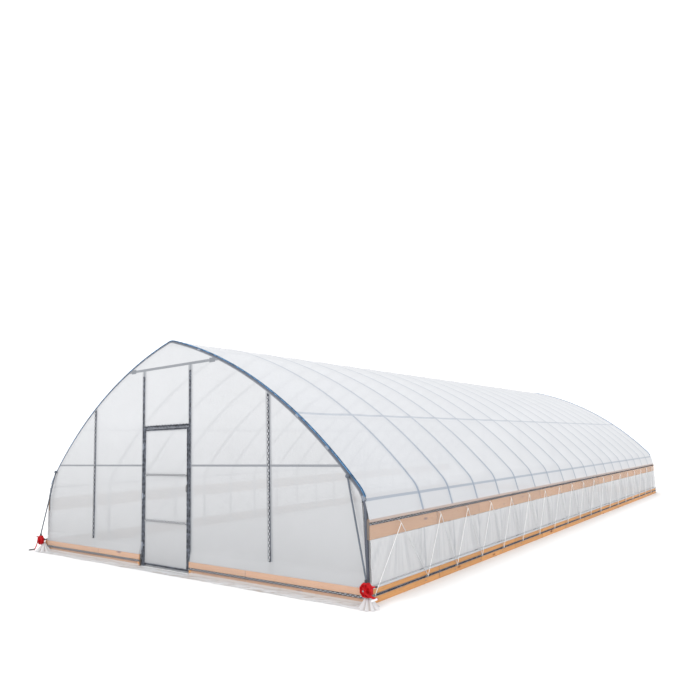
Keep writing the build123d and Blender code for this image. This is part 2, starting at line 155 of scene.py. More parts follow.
def attribute(tree, name):
    """A number that the mesh carries."""
    return add(tree, "ShaderNodeAttribute", out="Fac", attribute_name=name)


def ramp(tree, value, low, high, low_at=0.0, high_at=1.0):
    """A tone that goes from one colour to another between two values."""
    tone = add(tree, "ShaderNodeValToRGB", {"Fac": value})
    for stop, colour, position in zip(tone.node.color_ramp.elements, (low, high), (low_at, high_at)):
        stop.color = (*colour, 1)
        stop.position = position
    return tone


def rescale(tree, value, to_low, to_high, from_low=0.0, from_high=1.0):
    """A number moved from one range to another, and held at its ends."""
    inputs = {"Value": value, "From Min": from_low, "From Max": from_high}
    inputs.update({"To Min": to_low, "To Max": to_high})
    return add(tree, "ShaderNodeMapRange", inputs)


def coat(tree, shader, colour, rough=None, relief=None):
    """Links a colour into a shader, and a roughness and a relief where they are given."""
    tree.links.new(colour, shader.inputs["Base Color"])
    if rough:
        tree.links.new(rescale(tree, *rough), shader.inputs["Roughness"])
    if relief:
        inputs = dict(zip(("Height", "Strength", "Distance"), relief))
        tree.links.new(add(tree, "ShaderNodeBump", inputs), shader.inputs["Normal"])


def pine(name, along, darkest):
    """Pine with its grain along an axis. Each board has its own tone. Its ends are darker, end-grain
    colour with painted shade, and its back has half of that darkening as painted shade.
    """
    finish, tree, shader = new_finish(name, {"Roughness": 0.62, "Specular IOR Level": 0.35})
    place = add(tree, "ShaderNodeTexCoord", out="Object")
    tone = attribute(tree, "tone")
    shift = maths(tree, "MULTIPLY", tone, 37.0)
    moved = add(tree, "ShaderNodeVectorMath", {0: place, 1: shift}, operation="ADD")

    def stretched(across_grain, along_grain):
        """The place, scaled by one number along the grain and by another across it."""
        scale = [across_grain] * 3
        scale["XYZ".index(along)] = along_grain
        return add(tree, "ShaderNodeMapping", {"Vector": moved, "Scale": scale})

    figure = clouds(tree, stretched(14.0, 0.9), 1.3, Detail=3.0, Distortion=1.6)
    rings = maths(tree, "FRACT", maths(tree, "MULTIPLY", figure, 11.0))
    fibres = clouds(tree, stretched(110.0, 3.0), 1.0)
    knots = add(tree, "ShaderNodeTexVoronoi", {"Vector": stretched(5.0, 1.6), "Scale": 1.0})
    colour = ramp(tree, rings, early_wood, late_wood)
    for layer in (
        ramp(tree, fibres, streak_brown, white, 0.3, 0.6),
        ramp(tree, knots, knot_brown, white, 0.06, 0.13),
        rescale(tree, tone, darkest, darkest + tone_range),
    ):
        colour = times(tree, colour, layer)
    # Painted shade: ends and backs are mixed towards a dark brown, which is also the end grain's own
    # darker colour.
    colour = mix(tree, attribute(tree, "end_grain_and_shade"), colour, end_grain_and_shade_brown)
    coat(tree, shader, colour, relief=(fibres, 0.25, 0.001))
    return finish


def keep_mesh(name, mesh, finish, body, slot, *nodes):
    """Puts a finished mesh in the scene, on its body, in place of the nodes that it stands for."""
    mesh.name = name
    if not mesh.materials:
        mesh.materials.append(finish)
    made = bpy.data.objects.new(name, mesh)
    studio.collection.objects.link(made)
    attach(made, body)
    if nodes:
        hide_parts(*nodes)
    return made


def drawn(name, shape):
    """The mesh of a shape that is drawn to the end, with its faces turned outward."""
    bmesh.ops.recalc_face_normals(shape, faces=shape.faces)
    mesh = bpy.data.meshes.new(name)
    shape.to_mesh(mesh)
    shape.free()
    return mesh


def boards(name, ranges, finish, node):
    """Boards with eased edges, from a list of lowest and highest corners."""
    shape = bmesh.new()
    tone_layer = shape.faces.layers.float.new("tone")
    end_and_shade_layer = shape.faces.layers.float.new("end_grain_and_shade")
    for index, (low, high) in enumerate(ranges):
        low, high = Vector(low), Vector(high)
        place = Matrix.Translation((low + high) / 2) @ Matrix.Diagonal(high - low).to_4x4()
        made = bmesh.ops.create_cube(shape, size=1, matrix=place)
        edges = list({edge for corner in made["verts"] for edge in corner.link_edges})
        eased = bmesh.ops.bevel(shape, geom=edges, offset=board_round, segments=2, affect="EDGES")
        longest = max(range(3), key=lambda axis: high[axis] - low[axis])
        for face in {face for corner in eased["verts"] for face in corner.link_faces}:
            face[tone_layer] = (index * 0.618) % 1
            # Board ends are darkened fully, end grain and painted shade together. Faces turned into the
            # tunnel get half of it as painted shade.
            inward = -face.normal.x if low.x > 0 else face.normal.x
            faces_in = longest == 1 and inward > 0.6
            face[end_and_shade_layer] = 0.5 if faces_in else float(abs(face.normal[longest]) > 0.6)
    return keep_mesh(name, drawn(name, shape), finish, "tunnel", "pine_board", node)


def lengths(low, high, joints):
    """Splits a run at its joints, with a fine gap at each."""
    ends = [low, *joints, high]
    return [
        (start + (butt_gap / 2 if start != low else 0), end - (butt_gap / 2 if end != high else 0))
        for start, end in zip(ends, ends[1:])
    ]


side_joints = []
while front_y + first_length + board_length * len(side_joints) < back_y - board_length / 3:
    side_joints.append(front_y + first_length + board_length * len(side_joints))
for name, low, high, node in (
    ("base_boards_sides", base_low, base_high, "side_base_boards"),
    ("hip_boards_sides", hip_low, hip_high, "hip_boards"),
):
    ranges = []
    for x in (low.x, high.x - board_thickness):
        for start, end in lengths(low.y, high.y, side_joints):
            ranges.append(((x, start, low.z), (x + board_thickness, end, high.z)))
    boards(name, ranges, pine(name + "_pine", "Y", side_darkest), node)
ranges = []
for run, joint in zip(front_runs, front_joints):
    for start, end in lengths(*run, [joint]):
        ranges.append(((start, end_low.y, 0), (end, end_low.y + board_thickness, end_high.z)))
for start, end in lengths(end_low.x, end_high.x, (front_joints[0], rear_joint, front_joints[1])):
    ranges.append(((start, end_high.y - board_thickness, 0), (end, end_high.y, end_high.z)))
boards("base_boards_ends", ranges, pine("end_pine", "X", end_darkest), "end_base_boards")

# Hoops: 48 mm galvanised tube, bent in a press to a straight leg, a tight shoulder, a long
# shallow rafter and a blunt crown. Twenty stand in a row, closest in the body of the tunnel.
leg_height = 1.058
shoulder_radius, shoulder_turn = 0.450, radians(41.9)
rafter_radius, crown_radius = 7.400, 0.250
hoop_tube, hoop_sides = 0.048, 16
hoop_count = 20
hoop_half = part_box("hoop_01")[1].x
shoulder_x = hoop_half - shoulder_radius
rafter_x = shoulder_x - (rafter_radius - shoulder_radius) * cos(shoulder_turn)
rafter_z = leg_height - (rafter_radius - shoulder_radius) * sin(shoulder_turn)
crown_start = acos(-rafter_x / (rafter_radius - crown_radius))
crown_z = rafter_z + (rafter_radius - crown_radius) * sin(crown_start)
hoop_nodes = [f"hoop_{index + 1:02d}" for index in range(hoop_count)]
hoop_middles = [(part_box(node)[0].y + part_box(node)[1].y) / 2 for node in hoop_nodes]
steel_grey, hoop_grey = (0.19, 0.21, 0.25), (0.085, 0.095, 0.12)


def arch_line(outward, foot=0.0):
    """The hoop's outer line moved outward, from the right foot over the crown to the left."""
    right = [(hoop_half + outward, 0.0), (hoop_half + outward, leg_height)]
    for x, z, radius, start, end, steps in (
        (shoulder_x, leg_height, shoulder_radius, 0, shoulder_turn, 12),
        (rafter_x, rafter_z, rafter_radius, shoulder_turn, crown_start, 26),
        (0, crown_z, crown_radius, crown_start, pi / 2, 5),
    ):
        for step in range(1, steps + 1):
            angle = start + (end - start) * step / steps
            reach = radius + outward
            right.append((x + reach * cos(angle), z + reach * sin(angle)))
    over = [point for point in right if point[1] > foot]
    if foot:
        under = right[len(right) - len(over) - 1]
        share = (foot - under[1]) / (over[0][1] - under[1])
        over.insert(0, (under[0] + share * (over[0][0] - under[0]), foot))
    else:
        over.insert(0, right[0])
    return over + [(-x, z) for x, z in reversed(over[:-1])]


def shades(colour, *shares):
    """Darker and lighter shades of a colour."""
    return [[share * part for part in colour] for share in shares]


def galvanised(name, colour):
    """Hot-dip zinc: mottled dull grey with faint spangle and runs."""
    finish, tree, shader = new_finish(name, {"Metallic": 0.35, "Specular IOR Level": 0.4})
    place = add(tree, "ShaderNodeTexCoord", out="Object")
    spangle = add(tree, "ShaderNodeTexVoronoi", {"Vector": place, "Scale": 130.0})
    cloud = clouds(tree, place, 9.0, Detail=6.0)
    mottle = maths(tree, "ADD", spangle, cloud)
    tone = ramp(tree, mottle, *shades(colour, 0.72, 1.3), low_at=0.35)
    coat(tree, shader, tone, rough=(cloud, 0.38, 0.62), relief=(spangle, 0.12, 0.0006))
    return finish


def start_tree(name, **sizes):
    """A geometry tree with a named number in for each size."""
    tree = bpy.data.node_groups.new(name, "GeometryNodeTree")
    tree.interface.new_socket("Geometry", in_out="INPUT", socket_type="NodeSocketGeometry")
    for size, value in sizes.items():
        kind = "NodeSocketInt" if isinstance(value, int) else "NodeSocketFloat"
        tree.interface.new_socket(size, in_out="INPUT", socket_type=kind).default_value = value
    tree.interface.new_socket("Geometry", in_out="OUTPUT", socket_type="NodeSocketGeometry")
    return tree, tree.nodes.new("NodeGroupInput").outputs


def end_tree(tree, geometry, finish):
    """Closes a tree: instances made real, and the material set."""
    real = add(tree, "GeometryNodeRealizeInstances", {"Geometry": geometry})
    painted = add(tree, "GeometryNodeSetMaterial", {"Geometry": real, "Material": finish})
    add(tree, "NodeGroupOutput", {"Geometry": painted})
    return tree


def sweep(tree, path, sides, radius):
    """A round bar along a curve, with closed ends."""
    ring = add(tree, "GeometryNodeCurvePrimitiveCircle", {"Resolution": sides, "Radius": radius})
    inputs = {"Curve": path, "Profile Curve": ring, "Fill Caps": True}
    swept = add(tree, "GeometryNodeCurveToMesh", inputs)
    return add(tree, "GeometryNodeSetShadeSmooth", {"Geometry": swept})


def tube_kind(name, finish):
    """Round tube that follows each line: its tree and its finish."""
    tree, size = start_tree(name, radius=0.01, sides=12)
    path = add(tree, "GeometryNodeMeshToCurve", {"Mesh": size["Geometry"]})
    return end_tree(tree, sweep(tree, path, size["sides"], size["radius"]), finish), finish


def grow(name, lines, tree, **sizes):
    """Runs a tree on lines of points and gives back a plain mesh.

    Each line is a list of points, and a point may carry a second vector, kept as facing.
    """
    points, edges, facing = [], [], []
    for line in lines:
        start = len(points)
        for point in line:
            place, turned = point if isinstance(point[0], (tuple, list, Vector)) else (point, (0, 0, 1))
            points.append(place)
            facing.append(tuple(turned))
        edges += [(start + step, start + step + 1) for step in range(len(line) - 1)]
    seed_mesh = bpy.data.meshes.new(name + "_lines")
    seed_mesh.from_pydata(points, edges, [])
    kept = seed_mesh.attributes.new("facing", "FLOAT_VECTOR", "POINT")
    kept.data.foreach_set("vector", np.array(facing, np.float32).ravel())
    seed = bpy.data.objects.new(name + "_lines", seed_mesh)
    studio.collection.objects.link(seed)
    growth = seed.modifiers.new("growth", "NODES")
    growth.node_group = tree
    for item in tree.interface.items_tree:
        if item.in_out == "INPUT" and item.name in sizes:
            growth[item.identifier] = sizes[item.name]
    ready = seed.evaluated_get(bpy.context.evaluated_depsgraph_get())
    mesh = bpy.data.meshes.new_from_object(ready)
    seed.modifiers.remove(growth)
    bpy.data.objects.remove(seed)
    mesh.set_sharp_from_angle(angle=radians(40))
    return mesh


def tubes(name, lines, kind, radius, sides, *nodes, slot="galvanised_steel"):
    """A piece of the tunnel that is made of lengths of tube."""
    mesh = grow(name, lines, kind[0], radius=radius, sides=sides)
    return keep_mesh(name, mesh, kind[1], "tunnel", slot, *nodes)


steel = galvanised("galvanised_steel", steel_grey)
steel_tube = tube_kind("steel_tube", steel)
dark_tube = tube_kind("hoop_tube", galvanised("hoop_steel", hoop_grey))
hoop_lines = [[(x, y, z) for x, z in arch_line(-hoop_tube / 2)] for y in hoop_middles]
tubes("hoops", hoop_lines, dark_tube, hoop_tube / 2, hoop_sides, *hoop_nodes)

# Purlins and wind braces: lighter galvanised tube, the purlins run end to end under the hoops
# and the braces cross the first full bays on the slant, held to the tubes by clamps.
purlin_tube, purlin_sides = 0.034, 14
brace_tube, brace_sides = 0.027, 12
tube_gap = 0.0003
hip_angle, mid_angle = radians(17.2), radians(52.5)
brace_foot, brace_top = 0.120, leg_height - 0.120
braced_hoops = ((2, 3), (17, 16))


def span(x, y, z):
    """The two ends of a line, from one number or two for each axis."""
    ends = [value if isinstance(value, tuple) else (value, value) for value in (x, y, z)]
    return list(zip(*ends))


def under_arch(angle, depth):
    """A point below the hoop's outer line, at an angle of its shoulder or rafter."""
    if angle < shoulder_turn:
        reach = shoulder_radius - depth
        return shoulder_x + reach * cos(angle), leg_height + reach * sin(angle)
    reach = rafter_radius - depth
    return rafter_x + reach * cos(angle), rafter_z + reach * sin(angle)


purlin_depth = hoop_tube + tube_gap + purlin_tube / 2
purlin_places = [(0.0, crown_z + crown_radius - purlin_depth)]
for angle in (hip_angle, mid_angle):
    x, z = under_arch(angle, purlin_depth)
    purlin_places += [(x, z), (-x, z)]
purlin_lines = [span(x, (front_y, back_y), z) for x, z in purlin_places]
tubes("purlin_tubes", purlin_lines, steel_tube, purlin_tube / 2, purlin_sides, "purlins")
brace_x = hoop_half - hoop_tube - tube_gap - brace_tube / 2
brace_lines = [
    span(x, (hoop_middles[foot], hoop_middles[top]), (brace_foot, brace_top))
    for foot, top in braced_hoops
    for x in (-brace_x, brace_x)
]
tubes("brace_tubes", brace_lines, steel_tube, brace_tube / 2, brace_sides, "wind_braces")

# End frames: square galvanised posts from the ground up to the arch, a top beam clamped
# across under the crown, the door header and thin cross rails. The door's frame is alike.


def dress(finish, *nodes):
    """Coats pieces that are kept as the solids have them."""
    for node in nodes:
        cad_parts[node].data.materials.clear()
        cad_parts[node].data.materials.append(finish)


dress(steel, "front_posts", "front_rails", "rear_posts", "rear_rails", "door_frame")

# Lock channels: mill-finish aluminium trays screwed along the boards, the posts, the header,
# the end hoops and the door. The film is pressed into them by a springy wire.
channel_width, channel_depth, channel_wall, channel_lip = 0.030, 0.010, 0.002, 0.007
arch_foot = 1.230
front_arch_y, rear_arch_y = front_y + 0.009, back_y - 0.039
aluminium_grey, arch_blue = (0.165, 0.18, 0.215), (0.075, 0.20, 0.38)
lip_under = channel_depth - channel_wall
tray_half = [(0.0, 0.0), (0.0, channel_depth), (channel_lip, channel_depth)]
tray_half += [(channel_lip, lip_under), (channel_wall, lip_under), (channel_wall, channel_wall)]
tray_mirrored = [(channel_width - across, out) for across, out in tray_half]
arch_section = [tray_half[0], *tray_mirrored, *tray_half[:0:-1]]


def clouded(name, constants, tones, scale, detail=2.0, stops=(0.0, 1.0), rough=None, grain=None):
    """A material clouded between two tones. Grain is a scale, a strength and a depth."""
    finish, tree, shader = new_finish(name, constants)
    place = add(tree, "ShaderNodeTexCoord", out="Object")
    cloud = clouds(tree, place, scale, Detail=detail)
    relief = (clouds(tree, place, grain[0]), *grain[1:]) if grain else None
    coat(tree, shader, ramp(tree, cloud, *tones, *stops), rough and (cloud, *rough), relief)
    return finish


def milled(name, colour):
    """Drawn aluminium: fine lines, soft shine and a little bluish haze."""
    tones, stops, lines = shades(colour, 0.6, 1.4), (0.38, 0.62), (240.0, 0.1, 0.0005)
    return clouded(name, {"Metallic": 0.45}, tones, 16.0, 5.0, stops, rough=(0.3, 0.5), grain=lines)


def skin(shape, loops, smooth=False, material=0):
    """Faces between loops of corners, and a face over each end."""
    made = []
    for near, far in zip(loops, loops[1:]):
        for side in range(len(near)):
            following = (side + 1) % len(near)
            made.append(shape.faces.new((near[side], near[following], far[following], far[side])))
    made += [shape.faces.new(loops[0][::-1]), shape.faces.new(loops[-1])]
    for face in made:
        face.material_index = material
        face.smooth = smooth


aluminium = milled("aluminium", aluminium_grey)
dress(aluminium, "side_lock_channels", "front_lock_channels", "rear_lock_channel", "door_channels")
shape = bmesh.new()
outlines = [arch_line(tube_gap + out, arch_foot) for _, out in arch_section]
for start_y in (front_arch_y, rear_arch_y):
    loops = []
    for places in zip(*outlines):
        corners = [(x, start_y + across, z) for (x, z), (across, _) in zip(places, arch_section)]
        loops.append([shape.verts.new(corner) for corner in corners])
    skin(shape, loops)
arch_mesh = drawn("arch_channels", shape)
blue_aluminium = milled("arch_aluminium", arch_blue)
keep_mesh(
    "arch_channels", arch_mesh, blue_aluminium, "tunnel", "aluminium_channel", "arch_lock_channels"
)

# Wiggle wire: spring steel with a dark plastic coat, bent in a zigzag, that snaps into the
# channels over the film. One wire per channel on the tunnel and its own set on the door.
wire_pitch, wire_swing, wire_radius = 0.076, 0.0095, 0.0060
bends_per_turn, wire_sides = 8.0, 4
wire_tones = ((0.004, 0.004, 0.005), (0.016, 0.017, 0.020))
wire_depth = channel_depth - wire_radius
wire_over_film = channel_depth + 0.0010
hip_wire_z, base_wire_z, end_wire_z = 0.915, 0.095, 0.084
board_face = end_low.y
film_front = front_y - 0.0023
front_channel_y = film_front - tube_gap - wire_depth
over_film_y = film_front - tube_gap - wire_over_film
header_height, header_wires = 2.217, 0.006
channel_foot, channel_top = 0.025, 3.057
side_post, slope_top, wire_below_arch = 2.172, 0.334, 0.01
up, sideways, forward = Vector((0, 0, 1)), Vector((1, 0, 0)), Vector((0, 1, 0))
wire_constants = {"Roughness": 0.5, "Specular IOR Level": 0.25}
wire_finish = clouded("wire_coat", wire_constants, wire_tones, 30.0)
zigzag_tree, zigzag = start_tree(
    "zigzag_wire", pitch=wire_pitch, swing=wire_swing, radius=wire_radius
)
straight = add(zigzag_tree, "GeometryNodeMeshToCurve", {"Mesh": zigzag["Geometry"]})
bend_length = maths(zigzag_tree, "DIVIDE", zigzag["pitch"], bends_per_turn)
stepped = {"Curve": straight, "Length": bend_length}
stepped = add(zigzag_tree, "GeometryNodeResampleCurve", stepped, mode="LENGTH")
along = add(zigzag_tree, "GeometryNodeSplineParameter", out="Length")
turns = maths(zigzag_tree, "DIVIDE", along, zigzag["pitch"])
wave = maths(zigzag_tree, "SINE", maths(zigzag_tree, "MULTIPLY", turns, tau))
swung = maths(zigzag_tree, "MULTIPLY", wave, zigzag["swing"])


def carried_facing(tree):
    """The facing that grow() keeps on each point."""
    found = {"Name": "facing"}
    return add(tree, "GeometryNodeInputNamedAttribute", found, data_type="FLOAT_VECTOR")


offset = {0: carried_facing(zigzag_tree), "Scale": swung}
offset = add(zigzag_tree, "ShaderNodeVectorMath", offset, operation="SCALE")
bent = add(zigzag_tree, "GeometryNodeSetPosition", {"Geometry": stepped, "Offset": offset})
end_tree(zigzag_tree, sweep(zigzag_tree, bent, wire_sides, zigzag["radius"]), wire_finish)


def arch_height(x, outward):
    """How high the hoop's line is at a distance from the middle."""
    line = arch_line(outward)
    half = line[: len(line) // 2 + 1]
    return float(np.interp(-abs(x), [-p[0] for p in half], [p[1] for p in half]))


def wire(facing, x, y, z):
    """A straight run of wire that swings in a direction."""
    return [(end, facing) for end in span(x, y, z)]


def end_runs(out):
    """The runs along the end boards, as far out from them as given."""
    runs = [(run, board_face - out) for run in front_runs]
    return [*runs, ((end_low.x, end_high.x), end_high.y + out)]


tunnel_wires = [
    wire(up, side * (base_high.x + out), (front_y, back_y), z)
    for side in (-1, 1)
    for z, out in ((hip_wire_z, wire_over_film), (base_wire_z, wire_depth))
]
tunnel_wires += [wire(up, x_ends, y, end_wire_z) for x_ends, y in end_runs(wire_over_film)]
x_ends = (door_left + channel_width, door_right - channel_width)
for z in (header_height - header_wires, header_height + header_wires):
    tunnel_wires.append(wire(up, x_ends, front_channel_y, z))
for x in (door_left, door_right):
    tunnel_wires.append(wire(sideways, x, front_channel_y, (channel_foot, channel_top)))
for x in (-side_post, side_post):
    z_ends = (slope_top, arch_height(x, -hoop_tube) - wire_below_arch)
    tunnel_wires.append(wire(sideways, x, over_film_y, z_ends))
for y in (front_y + hoop_tube / 2, back_y - hoop_tube / 2):
    arch_run = arch_line(tube_gap + wire_depth, arch_foot)
    tunnel_wires.append([((x, y, z), forward) for x, z in arch_run])
wire_mesh = grow("wires", tunnel_wires, zigzag_tree)
keep_mesh("wiggle_wires", wire_mesh, wire_finish, "tunnel", "dark_latch")

# Films: one sheet of milky polythene is pulled over all the hoops and down to the hip boards,
# and flat sheets close the ends. The steel and the boards show through where they lie close.
# Painted shade on the films: darker towards the foot, soft bands beside hoops and posts, and darker
# folds and crumples.
roof_steel_and_shade_tone, end_steel_and_shade_tone = (0.28, 0.335, 0.42), (0.20, 0.215, 0.24)
film_gap = 0.0013
film_leaves_hoop = 1.168
film_side = base_high.x + film_gap
film_tucks_in = 0.0155
bays = list(zip(hoop_middles, hoop_middles[1:]))
dip, first_dip, dip_towards, dip_steps = 0.016, 0.020, 1.2, 11
roof_front, roof_back = front_y + 0.0393, back_y - 0.0393
second_hoop, bay = hoop_middles[1], hoop_middles[2] - hoop_middles[1]
mid_purlin_x = under_arch(mid_angle, 0)[0]
hip_purlin_z = under_arch(hip_angle, 0)[1]


def stripe(tree, value, middle, half, strength):
    """A stripe on the film where a coordinate is near a value: a tube behind it showing through, and in
    some uses painted shade beside a tube.
    """
    return maths(tree, "MULTIPLY", maths(tree, "COMPARE", value, middle, half), strength)


def polythene(name, alpha, colour, steel_and_shade_tone, stripes=None, foot_shade=1.0, crease=(1.5, 1.5, 0.6)):
    """Milky film: soft gloss, faint clouding, wide shallow creases, the steel behind it, and painted
    shade towards the foot and in folds.
    """
    constants = {"Alpha": alpha, "IOR": 1.45, "Specular IOR Level": 0.35}
    finish, tree, shader = new_finish(name, constants)
    place = add(tree, "ShaderNodeTexCoord", out="Object")
    cloud = clouds(tree, place, 1.1, Detail=6.0)
    tone = ramp(tree, cloud, *shades(colour, 0.96, 1.0), 0.3, 0.7)
    axes = add(tree, "ShaderNodeSeparateXYZ", {0: place}).node.outputs
    # Painted shade: the film's colour is darker towards the foot.
    shaded = times(tree, tone, rescale(tree, axes["Z"], foot_shade, 1.0, from_high=2.4))
    # The mesh carries where steel shows through and where shade is painted in folds and crumples. Both
    # are mixed towards one grey tone.
    rim = attribute(tree, "steel_and_painted_shade")
    for share in stripes(tree, axes) if stripes else ():
        rim = maths(tree, "MAXIMUM", rim, share)
    stretched = add(tree, "ShaderNodeMapping", {"Vector": place, "Scale": crease})
    relief = (clouds(tree, stretched, 1.0, Detail=5.0), 0.5, 0.006)
    coat(tree, shader, mix(tree, rim, shaded, steel_and_shade_tone), (cloud, 0.3, 0.46), relief)
    return finish


def grid_mesh(name, rows, finishes, on_timber=None, steel_and_painted_shade=None):
    """A sheet through rows of points. Faces that lie on a board take the second finish."""
    count = len(rows[0])
    points = [tuple(point) for row in rows for point in row]
    faces = []
    for row in range(len(rows) - 1):
        for column in range(count - 1):
            corner = row * count + column
            faces.append((corner, corner + 1, corner + count + 1, corner + count))
    mesh = bpy.data.meshes.new(name)
    mesh.from_pydata(points, [], faces)
    for finish in finishes:
        mesh.materials.append(finish)
    if on_timber:
        for face in mesh.polygons:
            face.material_index = int(on_timber(face.center))
    if steel_and_painted_shade:
        kept = mesh.attributes.new("steel_and_painted_shade", "FLOAT", "POINT")
        kept.data.foreach_set("value", [share for row in steel_and_painted_shade for share in row])
    mesh.shade_smooth()
    return mesh


def lay(mesh, body, node, **said):
    """Puts a film in the scene. The cut size, hang and holds given to it are not used."""
    made = keep_mesh(mesh.name, mesh, mesh.materials[0], body, "greenhouse_film", node)


def clamp(value):
    """A number held between 0 and 1."""
    return max(0.0, min(1.0, value))


def hoop_stripes(tree, axes, strength, half, fade=1.0):
    """Stripes over all the hoops but the end ones, where the steel shows through. Their fade from bold
    at the shoulders to faint at the crown is painted shade.
    """
    from_second = maths(tree, "SUBTRACT", axes["Y"], second_hoop)
    wrapped = maths(tree, "WRAP", from_second, bay / 2, -bay / 2)
    shown = stripe(tree, wrapped, 0.0, half, strength)
    past_first_bay = maths(tree, "GREATER_THAN", from_second, -bay / 2)
    # Painted shade: the stripes are strongest at the shoulders and fade towards the crown.
    height = rescale(tree, axes["Z"], 1.0, fade, from_low=1.2, from_high=2.3)
    return maths(tree, "MULTIPLY", maths(tree, "MULTIPLY", shown, past_first_bay), height)


def roof_stripes(tree, axes):
    """The hoops under the roof film with a painted soft shade beside them, and the purlins fainter."""
    across = maths(tree, "ABSOLUTE", axes["X"])
    return [
        hoop_stripes(tree, axes, 0.96, 0.024, fade=0.66),
        # A wide faint stripe beside each hoop: painted shade.
        hoop_stripes(tree, axes, 0.09, 0.060),
        stripe(tree, across, mid_purlin_x, 0.021, 0.50),
        stripe(tree, axes["Z"], hip_purlin_z, 0.017, 0.66),
        stripe(tree, axes["X"], 0.0, 0.018, 0.4),
    ]


def dip_share(z):
    """How much of the dip the film has at a height: none on the board, less on the rafters."""
    return clamp((z - hip_high.z) / 0.4) * (1 - 0.6 * clamp((z - 1.5) / 0.7))


clear_film = polythene("film_on_timber", 0.30, (0.60, 0.61, 0.64), roof_steel_and_shade_tone)
hip_film = polythene("film_on_hip_board", 0.34, (0.50, 0.52, 0.54), roof_steel_and_shade_tone)
hip_edge_film = polythene("film_on_hip_edge", 0.46, (0.58, 0.62, 0.66), roof_steel_and_shade_tone)
# The roof film is painted slightly darker towards the foot, as shade.
roof_white = polythene(
    "roof_polythene", 0.85, (0.645, 0.66, 0.69), roof_steel_and_shade_tone, roof_stripes, foot_shade=0.9
)
roof_start = [(film_side, hip_wire_z + film_tucks_in), (film_side, hip_high.z)]
roof_section = roof_start + arch_line(film_gap, film_leaves_hoop)
roof_section += [(-x, z) for x, z in reversed(roof_start)]
roof_steps = [(roof_front, 0.0)]
for bay_start, bay_end in bays:
    deep = first_dip if bay_end - bay_start > 1 else dip
    for step in range(dip_steps):
        share = step / dip_steps
        roof_steps.append((bay_start + share * (bay_end - bay_start), deep * 4 * share * (1 - share)))
roof_steps = [step for step in roof_steps if step[0] >= roof_front] + [(roof_back, 0.0)]
board_ends = {roof_front: front_y, roof_back: back_y}
rows = []
for y, deep in roof_steps:
    row = []
    for x, z in roof_section:
        inward = Vector((-x, 0, dip_towards - z)).normalized()
        crease = abs(0.003 * noise.noise(Vector((x * 3, y * 2.4, z * 3)))) * min(1, deep * 300)
        edge = board_ends.get(y, y) if z <= film_leaves_hoop else y
        row.append(Vector((x, edge, z)) + inward * (deep + crease) * dip_share(z))
    rows.append(row)
roof_mesh = grid_mesh(
    "roof_sheet", rows, (roof_white, hip_edge_film), lambda middle: middle.z < hip_high.z
)
roof_girth = sum(dist(a, b) for a, b in zip(roof_section, roof_section[1:]))
lay(
    roof_mesh,
    "tunnel",
    "roof_film",
    flat=(roof_girth, roof_back - roof_front),
    held="stretched",
    rests_on=["hoops", "hip_boards_sides"],
)

# End films: flat sheets on the posts and rails, cut to the arch, that lean out over the base
# boards into their channels. Over the posts, rails and beam the steel shows grey through them.
beam_z, beam_half, plate_half = 3.162, 0.021, 0.036
beam_end = next(x / 1000 for x in range(200, 3000) if arch_height(x / 1000, -hoop_tube) < beam_z)
rail_z, rail_half = 1.595, 0.0155
door_middle, door_half = -0.105, 0.6
board_film_y = board_face - film_gap
flat_film_y = film_front + 0.0010
film_foot = end_wire_z + 0.0153
slope_steps = (film_foot, 0.12, 0.15, base_high.z, 0.21, 0.24, 0.29)
flat_steps = 34
rim_inside, rim_shade = -0.036, 0.85
arch_inside = hoop_half - hoop_tube / 2


def end_stripes(tree, axes):
    """Posts, rails, beam and the beam's end plates behind an end film, with painted shade beside the
    posts.
    """
    below_beam = maths(tree, "LESS_THAN", axes["Z"], beam_z)
    above_slope = maths(tree, "GREATER_THAN", axes["Z"], slope_top)
    middle_reach = maths(tree, "MULTIPLY", below_beam, above_slope)
    shown = []
    for x, reach in (
        (door_left, below_beam),
        (door_right, below_beam),
        (-side_post, middle_reach),
        (side_post, middle_reach),
    ):
        # The narrow stripe is the post showing through. The wide faint band is partly the post's sides
        # showing through and partly painted shade.
        for half, strength in ((hoop_tube / 2, 0.72), (0.052, 0.42)):
            post = stripe(tree, axes["X"], x, half, strength)
            shown.append(maths(tree, "MULTIPLY", post, reach))
    from_door = maths(tree, "ABSOLUTE", maths(tree, "SUBTRACT", axes["X"], door_middle))
    beside_door = maths(tree, "GREATER_THAN", from_door, door_half)
    rails = stripe(tree, axes["Z"], rail_z, rail_half, 0.78)
    across = maths(tree, "ABSOLUTE", axes["X"])
    plates = stripe(tree, axes["Z"], beam_z, plate_half, 1.0)
    plate_ends = stripe(tree, across, beam_end - 0.065, 0.065, 0.9)
    return [
        *shown,
        maths(tree, "MULTIPLY", rails, beside_door),
        stripe(tree, axes["Z"], beam_z, beam_half, 0.8),
        maths(tree, "MULTIPLY", plates, plate_ends),
    ]


end_looks = (0.80, (0.655, 0.665, 0.685), end_steel_and_shade_tone)
# The end films are painted darker towards the foot, as shade.
end_white = polythene("end_polythene", *end_looks, end_stripes, foot_shade=0.70)


def end_film_y(x, z, rear):
    """How far forward the film stands: flat above, leaning out over the base board below."""
    at_door = front_runs[0][1] < x < front_runs[1][0] and not rear
    if z >= slope_top or at_door:
        return flat_film_y
    lean = min(1.0, (slope_top - z) / (slope_top - base_high.z))
    return flat_film_y + lean * (board_film_y - flat_film_y)


